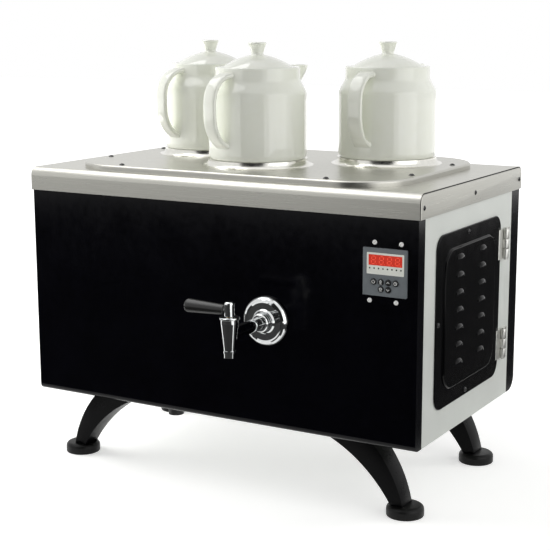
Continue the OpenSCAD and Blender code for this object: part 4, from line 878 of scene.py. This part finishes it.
def make_door():
    """Pressed door: a rolled edge, a raised field and two columns of hooded louvres."""
    low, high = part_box("service_door")
    middle = Vector((low.x, (low.y + high.y) / 2, (low.z + high.z) / 2))
    width, height = (high.y - low.y) / MM, (high.z - low.z) / MM
    field_w, field_h = width - 2 * FIELD_INSET_Y, height - 2 * FIELD_INSET_Z

    def edge(inset, depth):
        outline = rounded_rectangle(width - 2 * inset, height - 2 * inset, DOOR_R, 10)
        return [middle + Vector((depth, u, v)) * MM for u, v in outline]

    def field(inset, depth):
        outline = rounded_rectangle(field_w - 2 * inset, field_h - 2 * inset, FIELD_R - inset, 10)
        return [middle + Vector((depth, u, v)) * MM for u, v in outline]

    face = SHEET + FIELD_RISE
    inside = [field(inset, depth) for inset, depth in
              ((3.6, FIELD_RISE), (3.0, FIELD_RISE), (2.6, FIELD_RISE - 0.3), (1.8, 0.2), (1.4, 0), (0.8, 0))]
    rim = [edge(inset, depth) for inset, depth in
           ((0.9, 0), (0.3, 0), (0, 0.3), (0, SHEET - 0.4), (0.15, SHEET - 0.12), (0.45, SHEET),
            (1.0, SHEET))]
    outside = [field(inset, depth) for inset, depth in
               ((-0.9, SHEET), (-0.4, SHEET), (0, SHEET + 0.2), (0.8, face - 0.3), (1.0, face - 0.08),
                (1.3, face), (1.8, face))]
    door = new_object("service_door_pressed", loft("service_door_pressed", inside + rim + outside))
    rows = [LOUVRE_Z + (i - LOUVRES // 2) * LOUVRE_PITCH for i in range(LOUVRES)]
    places = [middle + Vector((face * MM, (side * COLUMN + LOUVRE_Y) * MM, row * MM))
              for side in (-1, 1) for row in rows]
    turn = Matrix(((0, 0, 1), (1, 0, 0), (0, 1, 0))).to_4x4()
    for form, operation in ((slot_form(), "DIFFERENCE"), (louvre_form(*HOOD), "UNION")):
        form.data.transform(turn)
        made = copies(form.name + "s", places, form, (0.0, 0.0, 1.0), POWDER)
        cut(door, made, operation)
    door.data.materials.clear()
    door.data.materials.append(POWDER)
    smooth(door.data, 40)
    settle(door, "door", "door_black", "service_door")


make_door()


# A hinge's knuckle in millimetres: radius, rounded edge, bore, share of the height, and play at each end.
KNUCKLE_R = 4.38
KNUCKLE_EDGE = 0.7
KNUCKLE_BORE = 1.8
KNUCKLE_H = 14.0
KNUCKLE_PLAY = 0.3
# How far from the pin a leaf starts: at its own knuckles, and beside the other leaf's.
LEAF_TUCK = 1.0
LEAF_CLEAR = 4.7
# A leaf's plate: its thickness and its softened edge.
LEAF_T = 2.2
LEAF_EDGE = 0.5


def knuckle_mesh(place):
    """A rolled knuckle with rounded ends and a bore, upright at a place."""
    half, shoulder = KNUCKLE_H / 2 - KNUCKLE_PLAY, KNUCKLE_R - KNUCKLE_EDGE
    low = arc((shoulder, KNUCKLE_EDGE - half), KNUCKLE_EDGE, -90, 0, 4)
    high = arc((shoulder, half - KNUCKLE_EDGE), KNUCKLE_EDGE, 0, 90, 4)
    bore = [(KNUCKLE_BORE, half), (KNUCKLE_BORE, -half)]
    ring = turned("knuckle", [bore[1], (shoulder, -half)] + low + high + bore, 40, SATIN)
    mesh = ring.data.copy()
    mesh.transform(Matrix.Translation(place))
    bpy.data.objects.remove(ring)
    return mesh


def leaf_mesh(inner, axis, side, reach, row, own):
    """One third of a leaf, level with a row of knuckles, with its far edge softened."""
    near = LEAF_TUCK if own else LEAF_CLEAR
    half = KNUCKLE_H / 2 - (KNUCKLE_PLAY if own else 0.0)
    rings = []
    for depth, ease in ((0, 0), (LEAF_T - LEAF_EDGE, 0), (LEAF_T, LEAF_EDGE)):
        corners = ((near, -half), (reach - ease, -half), (reach - ease, half), (near, half))
        x = inner + depth * MM
        rings.append([Vector((x, axis.y + side * u * MM, axis.z + (row * KNUCKLE_H + v) * MM))
                      for u, v in corners])
    return loft("leaf", rings)


def make_hinges():
    """Butt hinges: the door's leaf holds the middle knuckle and the casing's leaf the outer two."""
    for source, body, side, rows in (("door_hinge_leaves", "door", -1, (0,)),
                                     ("body_hinge_leaves", "casing", 1, (-1, 1))):
        low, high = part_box(source)
        meshes = []
        for pin_low, pin_high in boxes_in("hinge_pins"):
            axis = (pin_low + pin_high) / 2
            reach = (axis.y - low.y if side < 0 else high.y - axis.y) / MM
            meshes += [leaf_mesh(low.x, axis, side, reach, row, row in rows) for row in (-1, 0, 1)]
            meshes += [knuckle_mesh(axis + Vector((0, 0, row * KNUCKLE_H * MM))) for row in rows]
        mesh = joined(source + "_finished", meshes)
        mesh.materials.clear()
        mesh.materials.append(SATIN)
        smooth(mesh, 35)
        settle(new_object(source + "_finished", mesh), body, "chrome", source)


make_hinges()


# Ends of the cover

# The fold of the cover's edge, and the joint round its end caps, in millimetres: the joint's width and the
# thickness of the painted shadow laid in it.
COVER_BEND = 11.5
JOINT_W = 1.5
JOINT_T = 0.06


def make_cover_ends():
    """End caps let into the folded cover: a band of painted shadow in the joint round each, then its rounded
    edge.
    """
    low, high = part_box("top_cover")
    half, top = (high.y - low.y) / 2 / MM, (high.z - low.z) / MM

    def outline(inset):
        corner = max(COVER_BEND - inset, 0.5)
        points = [(half - inset, 0.0)] + arc((half - COVER_BEND, top - COVER_BEND), corner, 0, 90, 12)
        return points + [(-u, v) for u, v in points[::-1]]

    for name, side, x in (("left", -1, low.x), ("right", 1, high.x)):

        def on_end(inset, proud):
            return [Vector((x + side * proud * MM, CASING.y + u * MM, low.z + v * MM))
                    for u, v in outline(inset)]

        # Painted shadow: a thin black band laid along the joint, where the gap would be in shade.
        mesh = ribbon(on_end(JOINT_W / 2, 0.0), Vector((side, 0, 0)), JOINT_W * MM, JOINT_T * MM)
        mesh.materials.append(SEAM_SHADOW)
        settle(new_object(name + "_cover_joint", mesh), "casing", "black_plastic")
        steps = ((JOINT_W, -0.2), (JOINT_W, 0.3), (1.65, 0.62), (2.0, 0.85), (2.6, 0.95))
        mesh = loft("cap", [on_end(inset, proud) for inset, proud in steps])
        mesh.materials.append(STEEL)
        smooth(mesh, 40)
        settle(new_object(name + "_cover_end", mesh), "casing", "brushed_steel")


make_cover_ends()


# Studio

# Brightness of the surroundings where they light the part, and where they are seen.
WORLD_LIGHT = 0.41
WORLD_SEEN = 1.0
# Lamps: name, place and size in metres, power in watts.
LAMPS = (("left", (-1.8, -0.35, 0.95), (1.4, 1.6), 35), ("right", (1.75, -0.35, 0.75), (1.5, 1.5), 8),
         ("right_rear", (1.3, 1.1, 1.0), (0.5, 1.4), 7), ("bend", (-0.8, -0.25, 1.75), (1.8, 1.0), 13),
         ("top", (0.0, 0.25, 2.3), (2.0, 1.6), 3))
LAMPS_AIM = Vector((0, 0.04, 0.36))
# Black cloths that only reflections show, in metres: two just over the floor and one hung in front.
LAID = 0.002
HUNG = 2.4
CLOTHS = {
    "front_cloth": [(-2.4, -2.5, LAID), (1.05, -2.5, LAID), (1.05, -0.32, LAID), (-2.4, -0.32, LAID)],
    "right_cloth": [(0.42, -0.2, LAID), (2.2, -0.2, LAID), (2.2, 1.9, LAID), (1.3, 2.0, LAID),
                    (1.3, 3.1, LAID), (0.42, 3.1, LAID)],
    "curtain": [(-0.4, -2.46, 0), (1.84, -1.84, 0), (1.84, -1.84, HUNG), (-0.4, -2.46, HUNG)],
}
# Half the floor's width, in metres.
FLOOR_HALF = 9


def seen_directly(tree):
    """1 where a camera, glossy or transmission ray looks, and 0 for the light itself."""
    rays = node(tree, "ShaderNodeLightPath").outputs
    first = node(tree, "ShaderNodeMath", {0: rays["Is Camera Ray"], 1: rays["Is Glossy Ray"]},
                 operation="MAXIMUM").outputs["Value"]
    return node(tree, "ShaderNodeMath", {0: first, 1: rays["Is Transmission Ray"]},
                operation="MAXIMUM").outputs["Value"]


def make_surroundings():
    """White all round, at full brightness only where it is seen."""
    world = bpy.data.worlds.new("studio")
    world.use_nodes = True
    bpy.context.scene.world = world
    tree = world.node_tree
    back = tree.nodes["Background"]
    back.inputs["Color"].default_value = (1, 1, 1, 1)
    strength = node(tree, "ShaderNodeMapRange",
                    {"Value": seen_directly(tree), "To Min": WORLD_LIGHT, "To Max": WORLD_SEEN})
    tree.links.new(strength.outputs["Result"], back.inputs["Strength"])


def make_floor():
    """A pale paper floor that keeps the shadow near the part and turns white further out."""
    corners = [(a * FLOOR_HALF, b * FLOOR_HALF, 0) for a, b in SQUARE]
    floor = new_object("floor", mesh_of("floor", corners, [(0, 1, 2, 3)]))
    material, tree, shader, place = start("floor_paper_white", Roughness=0.9, Specular_IOR_Level=0.1,
                                          Emission_Color=(1, 1, 1, 1))
    mottle = node(tree, "ShaderNodeTexNoise", {"Vector": place, "Scale": 1.5}).outputs["Fac"]
    tone = node(tree, "ShaderNodeMixRGB",
                {"Fac": mottle, "Color1": linear("#e4e4e2"), "Color2": linear("#e9e9e7")})
    tree.links.new(tone.outputs["Color"], shader.inputs["Base Color"])
    away = node(tree, "ShaderNodeVectorMath", {0: place}, operation="LENGTH").outputs["Value"]
    glow = node(tree, "ShaderNodeMapRange", {"Value": away, "From Min": 0.5, "From Max": 2.2, "To Min": 0.5,
                                             "To Max": 1.0}).outputs["Result"]
    shown = node(tree, "ShaderNodeMath", {0: seen_directly(tree), 1: glow}, operation="MULTIPLY")
    tree.links.new(shown.outputs["Value"], shader.inputs["Emission Strength"])
    floor.data.materials.append(material)


def hang_cloths():
    """Matt black cotton, which darkens the reflections in the front and the right side."""
    black = surface("cloth_black_matt", ("#141414", "#1c1c1c"), (0.9, 1.0), 40, 4, 0.1)
    for name, corners in CLOTHS.items():
        cloth = new_object(name, mesh_of(name, corners, [tuple(range(len(corners)))]))
        cloth.data.materials.append(black)
        cloth.visible_camera = cloth.visible_diffuse = False
        cloth.visible_shadow = cloth.visible_transmission = False


def hang_lamps():
    """Soft lamps: two that reflections don't show, and one for the cover's bend that only they show."""
    for name, place, size, power in LAMPS:
        data = bpy.data.lights.new(name, "AREA")
        data.shape = "RECTANGLE"
        data.size, data.size_y = size
        data.energy = power
        lamp = bpy.data.objects.new(name, data)
        lamp.location = place
        lamp.rotation_euler = (LAMPS_AIM - Vector(place)).to_track_quat("-Z", "Y").to_euler()
        lamp.visible_glossy = name not in ("left", "right_rear")
        lamp.visible_diffuse = name != "bend"
        bpy.context.scene.collection.objects.link(lamp)


# The photograph's camera: degrees to the right, up and of roll, place in metres, lens and sensor in mm.
CAMERA_TURN = 30.31
CAMERA_RISE = 11.12
CAMERA_ROLL = 0.18
CAMERA_PLACE = Vector((0.94535, -1.5845, 0.6424))
CAMERA_LENS = 86.9
CAMERA_SENSOR = 36


def place_camera():
    """Sets the camera by its angles, with the part level in the frame but for the roll."""
    turn, rise, roll = (math.radians(a) for a in (CAMERA_TURN, CAMERA_RISE, CAMERA_ROLL))
    back = Vector((math.sin(turn) * math.cos(rise), -math.cos(turn) * math.cos(rise), math.sin(rise)))
    level = Vector((math.cos(turn), math.sin(turn), 0))
    upright = back.cross(level)
    right = level * math.cos(roll) - upright * math.sin(roll)
    up = level * math.sin(roll) + upright * math.cos(roll)
    data = bpy.data.cameras.new("camera")
    data.sensor_fit = "HORIZONTAL"
    data.sensor_width = CAMERA_SENSOR
    data.lens = CAMERA_LENS
    camera = bpy.data.objects.new("camera", data)
    matrix = Matrix((right, up, back)).transposed().to_4x4()
    matrix.translation = CAMERA_PLACE
    camera.matrix_world = matrix
    bpy.context.scene.collection.objects.link(camera)
    bpy.context.scene.camera = camera


make_surroundings()
make_floor()
hang_cloths()
hang_lamps()
place_camera()
bpy.context.scene.view_settings.view_transform = "Standard"
